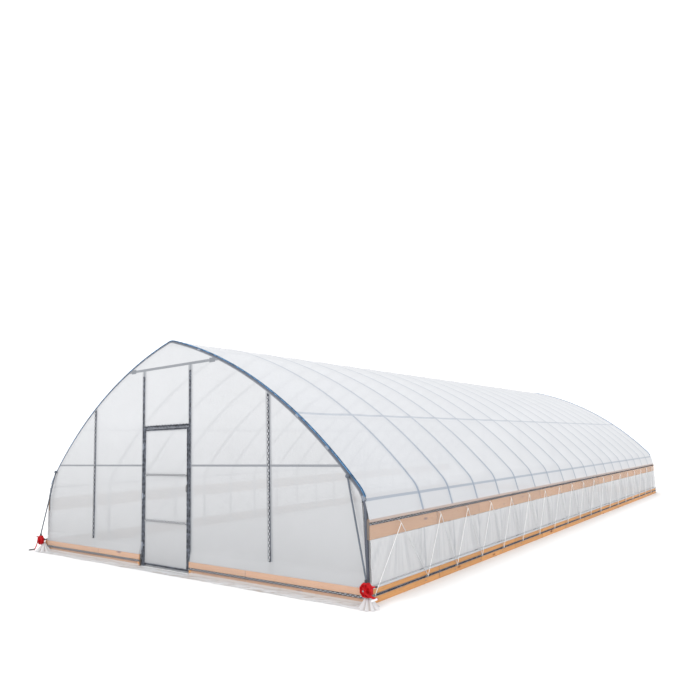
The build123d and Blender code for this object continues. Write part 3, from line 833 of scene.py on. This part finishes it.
def end_film(name, x_low, x_high, z_low, node, rear=False):
    """One end film, on a mesh that follows it column by column."""
    columns = max(12, int((x_high - x_low) / 0.04))
    low_steps = [z for z in slope_steps if z >= z_low]
    start = max(z_low, slope_top)
    rows = []
    for column in range(columns + 1):
        x = x_low + (x_high - x_low) * column / columns
        inner = max(arch_height(x, rim_inside), start + 0.02)
        top = max(arch_height(x, -hoop_tube / 2), inner + 0.01)
        flat_height = inner - 0.002 - start
        heights = [start + flat_height * step / flat_steps for step in range(flat_steps + 1)]
        row = []
        for z in (*low_steps, *heights, inner, top):
            loose = max(0, min(1, (top - z) * 3, (z - start) * 3, abs(x - x_low) * 4))
            slack = abs(0.004 * noise.noise(Vector((x * 1.7, 0, z * 0.9)))) * loose
            row.append((x, end_film_y(x, z, rear) - slack, z))
        rows.append(row)
    steel_and_painted_shade = [[0.0] * (len(rows[0]) - 2) + [rim_shade, rim_shade]] * len(rows)
    rows = [[(x, -y, z) for x, y, z in row] for row in rows] if rear else rows[::-1]
    mesh = grid_mesh(
        name, rows, (end_white, clear_film), lambda middle: middle.z < base_high.z, steel_and_painted_shade
    )
    tops = [row[-1][2] for row in rows]
    low = min(low_steps) if low_steps else z_low
    lay(
        mesh,
        "tunnel",
        node,
        flat=(x_high - x_low, max(tops) - low),
        held="stretched",
        rests_on=["rear_posts" if rear else "front_posts"],
        area=(x_high - x_low) * (sum(tops) / len(tops) - low),
    )


end_film("front_sheet_left", -arch_inside, door_left, film_foot, "front_film_left")
end_film("front_sheet_right", door_right, arch_inside, film_foot, "front_film_right")
end_film("front_sheet_over_door", door_left, door_right, header_height, "front_film_over_door")
end_film("rear_sheet", -arch_inside, arch_inside, film_foot, "rear_film", rear=True)

# Side curtains: film that hangs from the hip channel and is wound on the roll tube. It isn't
# stretched, so it falls in many narrow upright folds, tighter where the ropes press it.
curtain_top, curtain_foot = hip_wire_z - 0.0153, 0.2083
curtain_length = back_y - front_y
curtain_steps = 1300
curtain_shares = [0.0, 0.06, 0.13, 0.19, 0.25, 0.34, 0.45, 0.56, 0.67, 0.78, 0.88, 0.95, 1.0]


def curtain_stripes(tree, axes):
    """The hoops' legs, which show grey through the curtain."""
    return [hoop_stripes(tree, axes, 0.42, 0.022)]


curtain_white = polythene(
    "curtain_polythene",
    0.82,
    (0.635, 0.64, 0.655),
    (0.30, 0.32, 0.36),
    curtain_stripes,
    crease=(2.0, 26.0, 1.4),
)
for name, side, node in (
    ("curtain_right", 1, "side_curtain_right"),
    ("curtain_left", -1, "side_curtain_left"),
):
    rows, fold_shade = [], []
    for share in curtain_shares if side < 0 else curtain_shares[::-1]:
        z = curtain_top + (curtain_foot - curtain_top) * share
        free = clamp((share - 0.2) * 5) * min(1.0, (1.03 - share) * 6)
        row, row_fold_shade = [], []
        for step in range(curtain_steps + 1):
            y = front_y + curtain_length * step / curtain_steps
            bay_index = max(0, min(hoop_count - 2, int((y - second_hoop) // bay) + 1))
            fan = (y - sum(bays[bay_index]) / 2) / (0.42 + share)
            fold = noise.noise(Vector((fan * 15.0, bay_index * 5.3, side * 4.0 + z * 0.6)))
            fine = noise.noise(Vector((fan * 48.0, bay_index * 3.1, side * 7.0 + z)))
            out = max(-0.006, 0.0005 + free * (0.006 + 0.014 * fold + 0.006 * fine))
            row.append((side * (base_high.x + film_gap + out), y, z))
            # Painted shade: the curtain is drawn darker where a fold turns inward.
            row_fold_shade.append(0.26 * clamp(0.35 - 1.5 * fold - 1.2 * fine) * max(0.3, free))
        rows.append(row)
        fold_shade.append(row_fold_shade)
    mesh = grid_mesh(
        name, rows, (curtain_white, hip_film), lambda middle: middle.z > hip_low.z, fold_shade
    )
    lay(
        mesh,
        "tunnel",
        node,
        flat=(curtain_length, curtain_top - curtain_foot),
        held="hung",
        rests_on=["hip_boards_sides", "roll_tubes_wound"],
    )

# Roll tubes: galvanised tube along the foot of each curtain, with the film wound on it and
# held by white snap clips. The tubes run out past the front end into the winders.
roll_x, roll_z, roll_radius, roll_bare = 3.8268, 0.1915, 0.0165, 0.0145
roll_end = front_y - 0.090
clip_half, clip_wall = 0.03, 0.0015
bay_middles = [sum(ends) / 2 for ends in bays]


def along_rolls(*ends):
    """Lines along both roll tubes, each from one distance to another."""
    return [span(side * roll_x, run, roll_z) for side in (-1, 1) for run in ends]


tubes("roll_tubes_bare", along_rolls((roll_end, back_y)), steel_tube, roll_bare, 16, "roll_tubes")
wrap_white = polythene("rolled_polythene", 0.9, (0.55, 0.57, 0.60), roof_steel_and_shade_tone)
wrap_tube, film = tube_kind("rolled_film", wrap_white), "greenhouse_film"
wraps = along_rolls((front_y, back_y))
tubes("roll_tubes_wound", wraps, wrap_tube, roll_radius, 20, "roll_tubes", slot=film)
clips = along_rolls(*[(middle - clip_half, middle + clip_half) for middle in bay_middles])
tubes("roll_clips", clips, wrap_tube, roll_radius + clip_wall, 12, slot=film)

# Winders: a bright red moulded gear box on the front end of each roll tube, with a ribbed
# face, a steel collar, a socket for the guide pole, and a cranked handle with a grip.
box_size, box_front, box_back = 0.165, front_y - 0.150, front_y - 0.090
box_corner, box_middle = box_size / 2 / cos(pi / 8), (box_front + box_back) / 2
crank_reach, crank_bow, crank_steps = 0.200, 0.016, 14
arm_y, arm_wide, arm_thick = box_front - 0.028, 0.0125, 0.004
rib_y, rib_reach, rib_wide, rib_thick = -(-box_front - 0.0065), (0.036, 0.066), 0.0035, 0.0055
stub_tilt, stub_rise = radians(80), 0.028
bar_ease = 0.3
front_turn = Matrix.Rotation(pi / 2, 4, "X")
back_rings = ((0.86, 0.0), (0.99, 0.006), (1.0, 0.012))
front_rings = ((1.0, -0.018), (0.985, -0.010), (0.90, -0.002), (0.86, 0.0), (0.78, 0.0))
face_rings = ((0.76, -0.004), (0.75, -0.012), (0.46, -0.012), (0.45, -0.003), (0.42, 0.0))
housing = [(box_corner * share, -box_back + along) for share, along in back_rings]
housing += [(box_corner * share, -box_front + along) for share, along in front_rings + face_rings]
hub = ((0.030, -0.002), (0.030, 0.018), (0.026, 0.023), (0.012, 0.024))
nut = ((0.011, 0.030), (0.011, 0.036), (0.009, 0.038))
collar = ((0.0245, -0.040), (0.025, -0.038), (0.025, 0.0), (0.0245, 0.002))
socket = ((0.018, 0.070), (0.018, 0.112), (0.0165, 0.1165), (0.0115, 0.1165))
stub = ((0.013, 0.070), (0.013, 0.092), (0.010, 0.097), (0.009, 0.134), (0.0095, 0.135))
tip = ((0.0105, 0.134), (0.0115, 0.137), (0.0115, 0.152), (0.009, 0.156))
pad = ((0.0135, -0.0038), (0.014, -0.002), (0.014, 0.002), (0.0135, 0.0038))
grip = (
    (0.0095, 0.0),
    (0.0125, 0.004),
    (0.0118, 0.020),
    (0.0105, 0.032),
    (0.0122, 0.060),
    (0.0128, 0.082),
    (0.0112, 0.102),
    (0.0060, 0.109),
)
clip_tones = ((0.70, 0.71, 0.72), (0.82, 0.83, 0.84))
red_tones = ((0.34, 0.001, 0.003), (0.54, 0.003, 0.009))
dark_tones = ((0.018, 0.019, 0.022), (0.05, 0.052, 0.058))
clip_finish = clouded("white_clips", {"Roughness": 0.5}, clip_tones, 40.0)
red_constants, red_grain = {"Roughness": 0.5, "Specular IOR Level": 0.18}, (900.0, 0.15, 0.0004)
red_finish = clouded("winder_red", red_constants, red_tones, 24.0, 4.0, (0.3, 0.7), grain=red_grain)
dark_finish = clouded("dark_rubber", {"IOR": 1.5}, dark_tones, 60.0, rough=(0.45, 0.7))


def turn(shape, rings, corners, place, start=0.0, material=0, phase=0.0):
    """A turned or many-sided form: rings of a radius and a distance from a start along Z."""
    loops = []
    for radius, along in rings:
        angles = [tau * (corner + phase) / corners for corner in range(corners)]
        ring = [(radius * cos(angle), radius * sin(angle), start + along) for angle in angles]
        loops.append([shape.verts.new(place @ Vector(corner)) for corner in ring])
    skin(shape, loops, corners > 8, material)


def bar(shape, path, half_wide, half_thick, across):
    """A flat bar with eased edges along a path, with its thickness in the across direction."""
    path = [Vector(point) for point in path]
    inner = 1 - bar_ease
    section = [(1, inner), (inner, 1), (-inner, 1), (-1, inner)]
    section += [(-u, -v) for u, v in section]
    loops = []
    for index, point in enumerate(path):
        before, after = path[max(0, index - 1)], path[min(len(path) - 1, index + 1)]
        wide = across.cross((after - before).normalized()).normalized()
        corners = [point + wide * half_wide * u + across * half_thick * v for u, v in section]
        loops.append([shape.verts.new(corner) for corner in corners])
    skin(shape, loops)


def winder(name, side, crank_angle, grip_material, node):
    """One winder. Its materials are red, dark, steel and white."""
    shape = bmesh.new()
    middle = Vector((side * roll_x, 0, roll_z))
    face_on = Matrix.Translation(middle) @ front_turn
    turn(shape, housing, 8, face_on, phase=0.5)
    for rib in range(8):
        angle = tau * rib / 8
        out = Vector((cos(angle), 0, sin(angle)))
        ends = [middle + out * reach + Vector((0, rib_y, 0)) for reach in rib_reach]
        bar(shape, ends, rib_wide, rib_thick, forward)
    turn(shape, hub, 28, face_on, -box_front)
    turn(shape, nut, 6, face_on, -box_front, material=2)
    turn(shape, collar, 24, face_on, -box_back, material=1)
    turn(shape, socket, 20, Matrix.Translation(Vector((middle.x, box_middle, roll_z))), material=1)
    stub_place = Matrix.Translation(Vector((middle.x, box_middle, roll_z + stub_rise)))
    stub_turn = stub_place @ Matrix.Rotation(side * stub_tilt, 4, "Y")
    turn(shape, stub, 18, stub_turn)
    turn(shape, tip, 18, stub_turn, material=1)
    out = Vector((side * cos(crank_angle), 0, sin(crank_angle)))
    bow = up.cross(out).cross(out).normalized()
    arm = []
    for step in range(crank_steps + 1):
        share = step / crank_steps
        place = middle + out * (crank_reach * share) + Vector((0, arm_y, 0))
        arm.append(place + bow * (crank_bow * sin(pi * share)))
    bar(shape, arm, arm_wide, arm_thick, forward)
    for place in (arm[0], arm[-1]):
        arm_end = Matrix.Translation(Vector((place.x, 0, place.z))) @ front_turn
        turn(shape, pad, 20, arm_end, -arm_y)
    turn(shape, grip, 22, arm_end, -arm_y + arm_thick, material=grip_material)
    mesh = drawn(name, shape)
    for finish in (red_finish, dark_finish, steel, clip_finish):
        mesh.materials.append(finish)
    mesh.set_sharp_from_angle(angle=radians(35))
    keep_mesh(name, mesh, red_finish, "tunnel", "winder_red", node)


winder("winder_box_right", 1, radians(-18), 3, "winder_right")
winder("winder_box_left", -1, radians(-58), 1, "winder_left")

# Guide poles: thin galvanised tube that keeps each winder from turning as it climbs. The foot
# sits in the winder's socket, and the top slides in a bracket bolted to the front hoop.
pole_radius, bracket_radius = 0.011, 0.0190
pole_grey = (0.10, 0.115, 0.14)
pole_past, sleeve_half, bolt_length = 0.018, 0.022, 0.020
pole_foot_z, pole_top_z = 0.308, 1.471
pole_top_x = sqrt((rafter_radius - hoop_tube / 2) ** 2 - (pole_top_z - rafter_z) ** 2) + rafter_x
pole_top_y = film_front - 0.0203
pole_lines, bracket_lines = [], []
for side in (-1, 1):
    top = Vector((side * pole_top_x, pole_top_y, pole_top_z))
    foot = Vector((side * roll_x, box_middle, pole_foot_z))
    along = (top - foot).normalized()
    pole_lines.append([foot, top + along * pole_past])
    bracket_lines.append([top - along * sleeve_half, top + along * sleeve_half])
    bolt_ends = (pole_top_y - bolt_length, film_front)
    bracket_lines.append(span(side * pole_top_x, bolt_ends, pole_top_z))
pole_tube = tube_kind("pole_tube", galvanised("pole_steel", pole_grey))
tubes("guide_pole_tubes", pole_lines, pole_tube, pole_radius, 14, "guide_poles")
tubes("guide_brackets", bracket_lines, pole_tube, bracket_radius, 16, "guide_poles")

# Ropes: white braided line laced over each curtain, up to an eye at the middle of each bay
# and down to a hook at each hoop, so that the wind can't lift the film. The second leg in
# each bay lies in the folds and is painted duller, as shade there.
rope_radius, hook_radius = 0.004, 0.0028
rope_tones, rope_leg_shade = ((0.80, 0.80, 0.80), (0.97, 0.97, 0.97)), (0.62, 0.63, 0.65)
first_bay = second_hoop - hoop_middles[0]
rope_bay = hoop_middles[-1] - hoop_middles[-2]
falling_share = 0.475
rope_x = roll_x + roll_radius + 0.0043
rope_low, rope_high = 0.110, 0.860
eye_hook = ((film_side, 0.030), (rope_x - 0.010, 0.020), (rope_x, 0.006), (rope_x - 0.002, -0.010))
board_hook = (
    (base_high.x + channel_depth - 0.004, -0.012),
    (rope_x, -0.012),
    (rope_x + 0.008, -0.004),
    (rope_x + 0.008, 0.008),
)
rope_finish, tree, shader = new_finish("white_rope", {"Roughness": 0.75})
place = add(tree, "ShaderNodeTexCoord", out="Object")
waves = {"Vector": place, "Scale": 90.0, "Distortion": 1.5}
braid = add(tree, "ShaderNodeTexWave", waves, "Fac")
rope_y = add(tree, "ShaderNodeSeparateXYZ", {"Vector": place}, "Y")
in_bay = maths(tree, "MULTIPLY_ADD", rope_y, -1 / rope_bay, hoop_middles[-1] / rope_bay)
late = maths(tree, "LESS_THAN", maths(tree, "FRACT", in_bay), falling_share)
past_first = maths(tree, "GREATER_THAN", rope_y, second_hoop)
falling = maths(tree, "MULTIPLY", late, past_first)
first_late = stripe(tree, rope_y, second_hoop - first_bay / 4, first_bay * falling_share / 2, 1.0)
falling = maths(tree, "ADD", falling, first_late)
# Painted shade: the falling leg in each bay is mixed towards a duller grey.
tone = mix(tree, falling, ramp(tree, braid, *rope_tones), rope_leg_shade)
coat(tree, shader, tone, relief=(braid, 0.5, 0.001))
rope_lines, hook_lines = [], []
for side in (-1, 1):
    line = [(side * rope_x, hoop_middles[0], rope_low)]
    for middle, (_, bay_end) in zip(bay_middles, bays):
        for y, z, back in ((middle, rope_high, -0.012), (bay_end, rope_low, 0.012)):
            for along, rise in ((-0.010, back), (0, 0), (0.010, back)):
                line.append((side * rope_x, y + along, z + rise))
        hook_lines.append([(side * x, middle, rope_high + rise) for x, rise in eye_hook])
    rope_lines.append(line[:-1])
    for y in hoop_middles:
        hook_lines.append([(side * x, y, rope_low + rise) for x, rise in board_hook])
rope_tube, hook_tube = tube_kind("rope_tube", rope_finish), tube_kind("hook_wire", clip_finish)
tubes("rope_lacing", rope_lines, rope_tube, rope_radius, 8, "curtain_ropes", slot="white_rope")
tubes("rope_hooks", hook_lines, hook_tube, hook_radius, 8, slot="white_rope")

# Door: a welded frame of square tube hung on the left post by three barrel hinges. Film is
# stretched over its front and locked into channels on its stiles and rails.
leaf_low, leaf_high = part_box("door_frame")
door_rails, stile_half = (0.724, 1.448), 0.016
film_inset, door_columns, door_levels = 0.002, 24, 40
stile_wires, foot_wire_z = (leaf_low.x + 0.019, leaf_high.x - 0.019), 0.044
stile_ends = (leaf_low.z + 0.004, leaf_high.z - 0.004)
rail_ends = (leaf_low.x + 0.034, leaf_high.x - 0.034)
dress(steel, "door_hinges", "post_hinges")


def door_stripes(tree, axes):
    """The leaf's stiles and rails behind its film."""
    return [
        stripe(tree, axes[axis], middle, stile_half, strength)
        for axis, middle, strength in (
            ("X", leaf_low.x + stile_half, 0.75),
            ("X", leaf_high.x - stile_half, 0.75),
            ("Z", leaf_low.z + stile_half, 0.5),
            ("Z", door_rails[0], 0.15),
            ("Z", door_rails[1], 0.15),
            ("Z", leaf_high.z - stile_half, 0.6),
        )
    ]


# The door film is painted darker towards the foot, as shade.
door_white = polythene("door_polythene", *end_looks, door_stripes, foot_shade=0.70)
film_width = leaf_low.x - leaf_high.x + 2 * film_inset
film_height = leaf_high.z - leaf_low.z - 2 * film_inset
rows = []
for column in range(door_columns + 1):
    x = leaf_high.x - film_inset + film_width * column / door_columns
    row = []
    for step in range(door_levels + 1):
        z = leaf_low.z + film_inset + film_height * step / door_levels
        edge = min(1, 8 * min(x - leaf_low.x, leaf_high.x - x, z - leaf_low.z, leaf_high.z - z))
        slack = abs(0.003 * noise.noise(Vector((x * 3, 5.0, z * 2)))) * edge
        row.append((x, flat_film_y - slack, z))
    rows.append(row)
lay(
    grid_mesh("door_sheet", rows, (door_white,)),
    "door",
    "door_film",
    flat=(leaf_high.x - leaf_low.x, leaf_high.z - leaf_low.z),
    held="stretched",
    rests_on=["door_frame"],
)
door_wires = [wire(sideways, x, front_channel_y, stile_ends) for x in stile_wires]
for z, y in (
    (foot_wire_z, front_channel_y),
    (door_rails[0], over_film_y),
    (door_rails[1], over_film_y),
    (leaf_high.z - 0.019, front_channel_y),
):
    door_wires.append(wire(up, rail_ends, y, z))
door_wire_mesh = grow("door_wires", door_wires, zigzag_tree)
keep_mesh("door_wires", door_wire_mesh, wire_finish, "door", "dark_latch")

# Latch: a dark pull handle, a round bar bent to stand off a back plate, on the free stile.
# Half of the bar is set out, and mirrored about the middle of the latch.
latch_low, latch_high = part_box("door_latch")
latch_x, latch_z = (latch_low.x + latch_high.x) / 2, (latch_low.z + latch_high.z) / 2
latch_back, latch_front = latch_high.y, latch_low.y
pull_length, pull_radius = 0.120, 0.0045
plate_length, plate_half, plate_thin = 0.118, 0.0095, 0.0015
pull = []
for share, out in ((-0.40, 0.0), (-0.40, 0.5), (-0.34, 0.86), (-0.26, 0.94)):
    y = latch_back + (latch_front + 0.005 - latch_back) * out / 0.94
    pull.append((latch_x, y, latch_z + share * pull_length))
pull += [(x, y, 2 * latch_z - z) for x, y, z in reversed(pull)]
latch_tree, _ = tube_kind("latch_bar", dark_finish)
latch_mesh = grow("latch_pull", [pull], latch_tree, radius=pull_radius, sides=12)
shape = bmesh.new()
shape.from_mesh(latch_mesh)
plate_ends = (latch_z - 0.5 * plate_length, latch_z + 0.5 * plate_length)
bar(shape, span(latch_x, latch_back - plate_thin, plate_ends), plate_half, plate_thin, forward)
shape.to_mesh(latch_mesh)
shape.free()
keep_mesh("latch_pull", latch_mesh, dark_finish, "door", "dark_latch", "door_latch")

# Skirts: the spare film below the end channels, left loose on the ground in a crumpled strip.
# At the front corners it is gathered into a bunch under each winder.
skirt_run, skirt_columns, skirt_steps = 0.304, 420, 16
skirt_reach, skirt_top, lies_on_ground = 0.225, 0.0685, 0.028
skirt_shade = (0.42, 0.36, 0.32)
bunch_y, neck_y = board_face - 0.2367 / 2, board_face - 0.026
bunch_neck, bunch_edge, bunch_flat = 0.018, 0.022, (0.42, 0.20)
bunch_levels, bunch_steps, seam_gap = 18, 180, 0.00005
skirt_white = polythene(
    "skirt_polythene", 0.80, (0.72, 0.725, 0.74), skirt_shade, crease=(14.0, 14.0, 14.0)
)


def skirt(name, node, rear=False):
    """A strip that comes down the board and runs out over the ground in soft crumples."""
    rows, dark = [], []
    for column in range(skirt_columns + 1):
        x = -base_high.x + 2 * base_high.x * column / skirt_columns
        from_door = abs(x - door_middle)
        at_door = 0.0 if rear else clamp((0.70 - from_door) / 0.08)
        near_door = 0.0 if rear else clamp((1.15 - from_door) / 0.3)
        reach = skirt_reach * (0.93 + 0.10 * noise.noise(Vector((x * 1.6, 3.0, 0))))
        row, row_dark = [], []
        for step in range(skirt_steps + 1):
            share = step / skirt_steps
            down = max(0.0, 1 - share / 0.24)
            out = max(0.0, (share - 0.10) / 0.90)
            crumple = noise.noise(Vector((x * 7 + share * 2, share * 3.0, 1.0)))
            crumple += 0.5 * noise.noise(Vector((x * 19, share * 9.0, 4.0)))
            lift = 0.004 + 0.013 * max(0.0, crumple + 0.25) * min(1, share * 4) * (1 - 0.72 * near_door)
            z = max(lift, (1 - at_door) * skirt_top * down * down * (3 - 2 * down))
            y = board_film_y - reach * out - 0.004 * crumple * min(1, share * 3)
            row.append((x, y, max(0.002, z)))
            # Painted shade in the hollows of the crumples. The strip is also drawn darker near the
            # board.
            at_board = 0.7 * max(0.0, 1 - share / 0.5)
            in_folds = 0.7 * clamp((-0.1 - crumple) * (1.6 + 2 * near_door))
            row_dark.append(max(at_board * (1 - at_door), in_folds))
        rows.append(row)
        dark.append(row_dark)
    if rear:
        rows = [[(x, -y, z) for x, y, z in row] for row in rows]
    else:
        rows, dark = rows[::-1], dark[::-1]
    mesh = grid_mesh(
        name, rows, (skirt_white, clear_film), lambda middle: middle.z > lies_on_ground, dark
    )
    flat = (2 * base_high.x, skirt_run)
    lay(mesh, "tunnel", node, flat=flat, held="laid", rests_on=["floor"])


skirt("front_skirt_sheet", "front_skirt")
skirt("rear_skirt_sheet", "rear_skirt", rear=True)
for name, side, spread, bunch_reach, bunch_height in (
    ("bunch_right", 1, 0.080, 0.130, 0.135),
    ("bunch_left", -1, 0.160, 0.145, 0.150),
):
    rows, dark = [], []
    for fall in range(bunch_levels + 1):
        share = fall / bunch_levels
        flare = share**1.25
        middle_x = side * base_high.x + spread * flare
        middle_y = neck_y + (bunch_y - neck_y) * flare
        row, row_dark = [], []
        for step in range(bunch_steps + 1):
            angle = tau * (step % bunch_steps) / bunch_steps
            ring = Vector((cos(angle), sin(angle), side * 2.0))
            folds = sin(9 * angle + 2.6 * noise.noise(ring * 1.3))
            folds += 0.8 * noise.noise(ring * 4.0 + Vector((0, 0, share)))
            radius = bunch_neck + (bunch_reach - bunch_edge - bunch_neck) * flare
            radius += folds * (0.002 + 0.017 * share)
            z = bunch_height * (1 - share) ** 1.1 + 0.004 + 0.004 * share * (1 + folds)
            row.append((middle_x + radius * cos(angle), middle_y + radius * sin(angle), z))
            # Painted shade in the inward folds of the bunch.
            row_dark.append(min(0.8, max(0.0, -0.15 - folds) * (0.3 + 0.5 * share)))
        rows.append(row)
        dark.append(row_dark)
    mesh = grid_mesh(name, rows, (skirt_white,), steel_and_painted_shade=dark)
    shape = bmesh.new()
    shape.from_mesh(mesh)
    bmesh.ops.remove_doubles(shape, verts=shape.verts, dist=seam_gap)
    bmesh.ops.recalc_face_normals(shape, faces=shape.faces)
    shape.to_mesh(mesh)
    shape.free()
    mesh.shade_smooth()
    lay(mesh, "tunnel", "front_skirt", flat=bunch_flat, held="gathered", rests_on=["floor"])

# Tucked edges: where the film goes into a channel its edge is folded white over the tray,
# under the wire. It shows between the zigzags along the hip and end boards.
tuck_depth, tuck_thin = 0.0086, 0.0010
narrow_tuck, tuck, wide_tuck = 0.0058, 0.0088, 0.0125
rail_tuck_y = film_front - tube_gap - channel_depth - tuck_thin / 2
post_tuck_z = (slope_top + 0.01, arch_height(side_post, -hoop_tube) - 0.03)
side_tuck_x = base_high.x + tuck_depth
side_tucks = [span(x, (front_y, back_y), hip_wire_z) for x in (-side_tuck_x, side_tuck_x)]
end_tucks = [span(x_ends, y, end_wire_z) for x_ends, y in end_runs(tuck_depth)]
post_tucks = [span(x, rail_tuck_y, post_tuck_z) for x in (-side_post, side_post)]
door_tucks = [span(rail_ends, rail_tuck_y, z) for z in door_rails]
tuck_white = polythene("tucked_polythene", 1.0, (0.60, 0.61, 0.63), roof_steel_and_shade_tone)
for name, body, kinds in (
    (
        "tucked_film",
        "tunnel",
        ((side_tucks, narrow_tuck, sideways), (end_tucks + post_tucks, tuck, forward)),
    ),
    ("door_tucked_film", "door", ((door_tucks, wide_tuck, forward),)),
):
    shape = bmesh.new()
    for runs, half, out in kinds:
        for run in runs:
            bar(shape, run, half, tuck_thin, out)
    keep_mesh(name, drawn(name, shape), tuck_white, body, "greenhouse_film")

# Fastenings: clamps where the purlins cross the hoops, sleeves at the hoop joints, round-head
# bolts through the boards, and self-drilling screws along the channels.
clamp_half, clamp_wall = 0.032, 0.002
joint_half, joint_wall = 0.03, 0.0012
joint_places = (
    (0.158, 0.881),
    (0.693, 0.608),
    (0.824, 0.490),
    (0.993, 0.323),
    (-0.194, 0.879),
    (-0.821, 0.500),
    (-0.972, 0.381),
)
head_corners, head_taper = 10, 0.62
side_bolts, end_bolts, bolt_inset = (0.042, 0.150), (0.140, 0.036), 0.06
screw_pitch, side_screws, post_screws, post_screw_z = 0.3, 54, 7, 0.42
clamp_lines = [
    span(x, (y - clamp_half, y + clamp_half), z) for x, z in purlin_places for y in hoop_middles[1:-1]
]
tubes("purlin_clamps", clamp_lines, steel_tube, purlin_tube / 2 + clamp_wall, 12)
sleeve_lines = []
middle_line = [Vector(point) for point in arch_line(-hoop_tube / 2)]
for y in (hoop_middles[0], hoop_middles[-1]):
    for joint in joint_places:
        wanted = Vector(joint) * base_high.x
        nearest = min(range(1, len(middle_line) - 1), key=lambda i: (middle_line[i] - wanted).length)
        along = (middle_line[nearest + 1] - middle_line[nearest - 1]).normalized() * joint_half
        ends = (middle_line[nearest] - along, middle_line[nearest] + along)
        sleeve_lines.append([(end.x, y, end.y) for end in ends])
tubes("hoop_sleeves", sleeve_lines, steel_tube, hoop_tube / 2 + joint_wall, 20)

head_tree, head = start_tree("bolt_heads", radius=0.009, height=0.005)
dome = {"Vertices": head_corners, "Radius Bottom": head["radius"], "Depth": head["height"]}
dome["Radius Top"] = maths(head_tree, "MULTIPLY", head["radius"], head_taper)
dome = add(head_tree, "GeometryNodeMeshCone", dome)
turned = {"Vector": carried_facing(head_tree)}
turned = add(head_tree, "FunctionNodeAlignRotationToVector", turned, axis="Z")
heads = {"Points": head["Geometry"], "Instance": dome, "Rotation": turned}
heads = add(head_tree, "GeometryNodeInstanceOnPoints", heads)
end_tree(head_tree, heads, steel)
bolts, screws = [], []
for side in (-1, 1):
    bolts += [((side * base_high.x, y, z), (side, 0, 0)) for y in hoop_middles for z in side_bolts]
    for z in (hip_wire_z, base_wire_z):
        for step in range(side_screws):
            y = front_y + screw_pitch / 2 + screw_pitch * step
            screws.append(((side * (base_high.x + channel_wall), y, z), (side, 0, 0)))
post_screw_y = film_front - tube_gap - channel_wall
for x in (door_left, door_right, -side_post, side_post):
    for step in range(post_screws):
        screws.append(((x, post_screw_y, post_screw_z + screw_pitch * step), (0, -1, 0)))
for x_low, x_high in front_runs:
    for x in (x_low + bolt_inset, (x_low + x_high) / 2, x_high - bolt_inset):
        bolts += [((x, end_high.y, z), (0, 1, 0)) for z in end_bolts]
    for step in range(int((x_high - x_low) / screw_pitch)):
        x = x_low + screw_pitch / 2 + screw_pitch * step
        screws.append(((x, board_face - channel_wall, end_wire_z), (0, -1, 0)))
for name, points, sizes in (
    ("board_bolts", bolts, {}),
    ("channel_screws", screws, {"radius": 0.005, "height": 0.003}),
):
    mesh = grow(name, [[point] for point in points], head_tree, **sizes)
    keep_mesh(name, mesh, steel, "tunnel", "galvanised_steel")
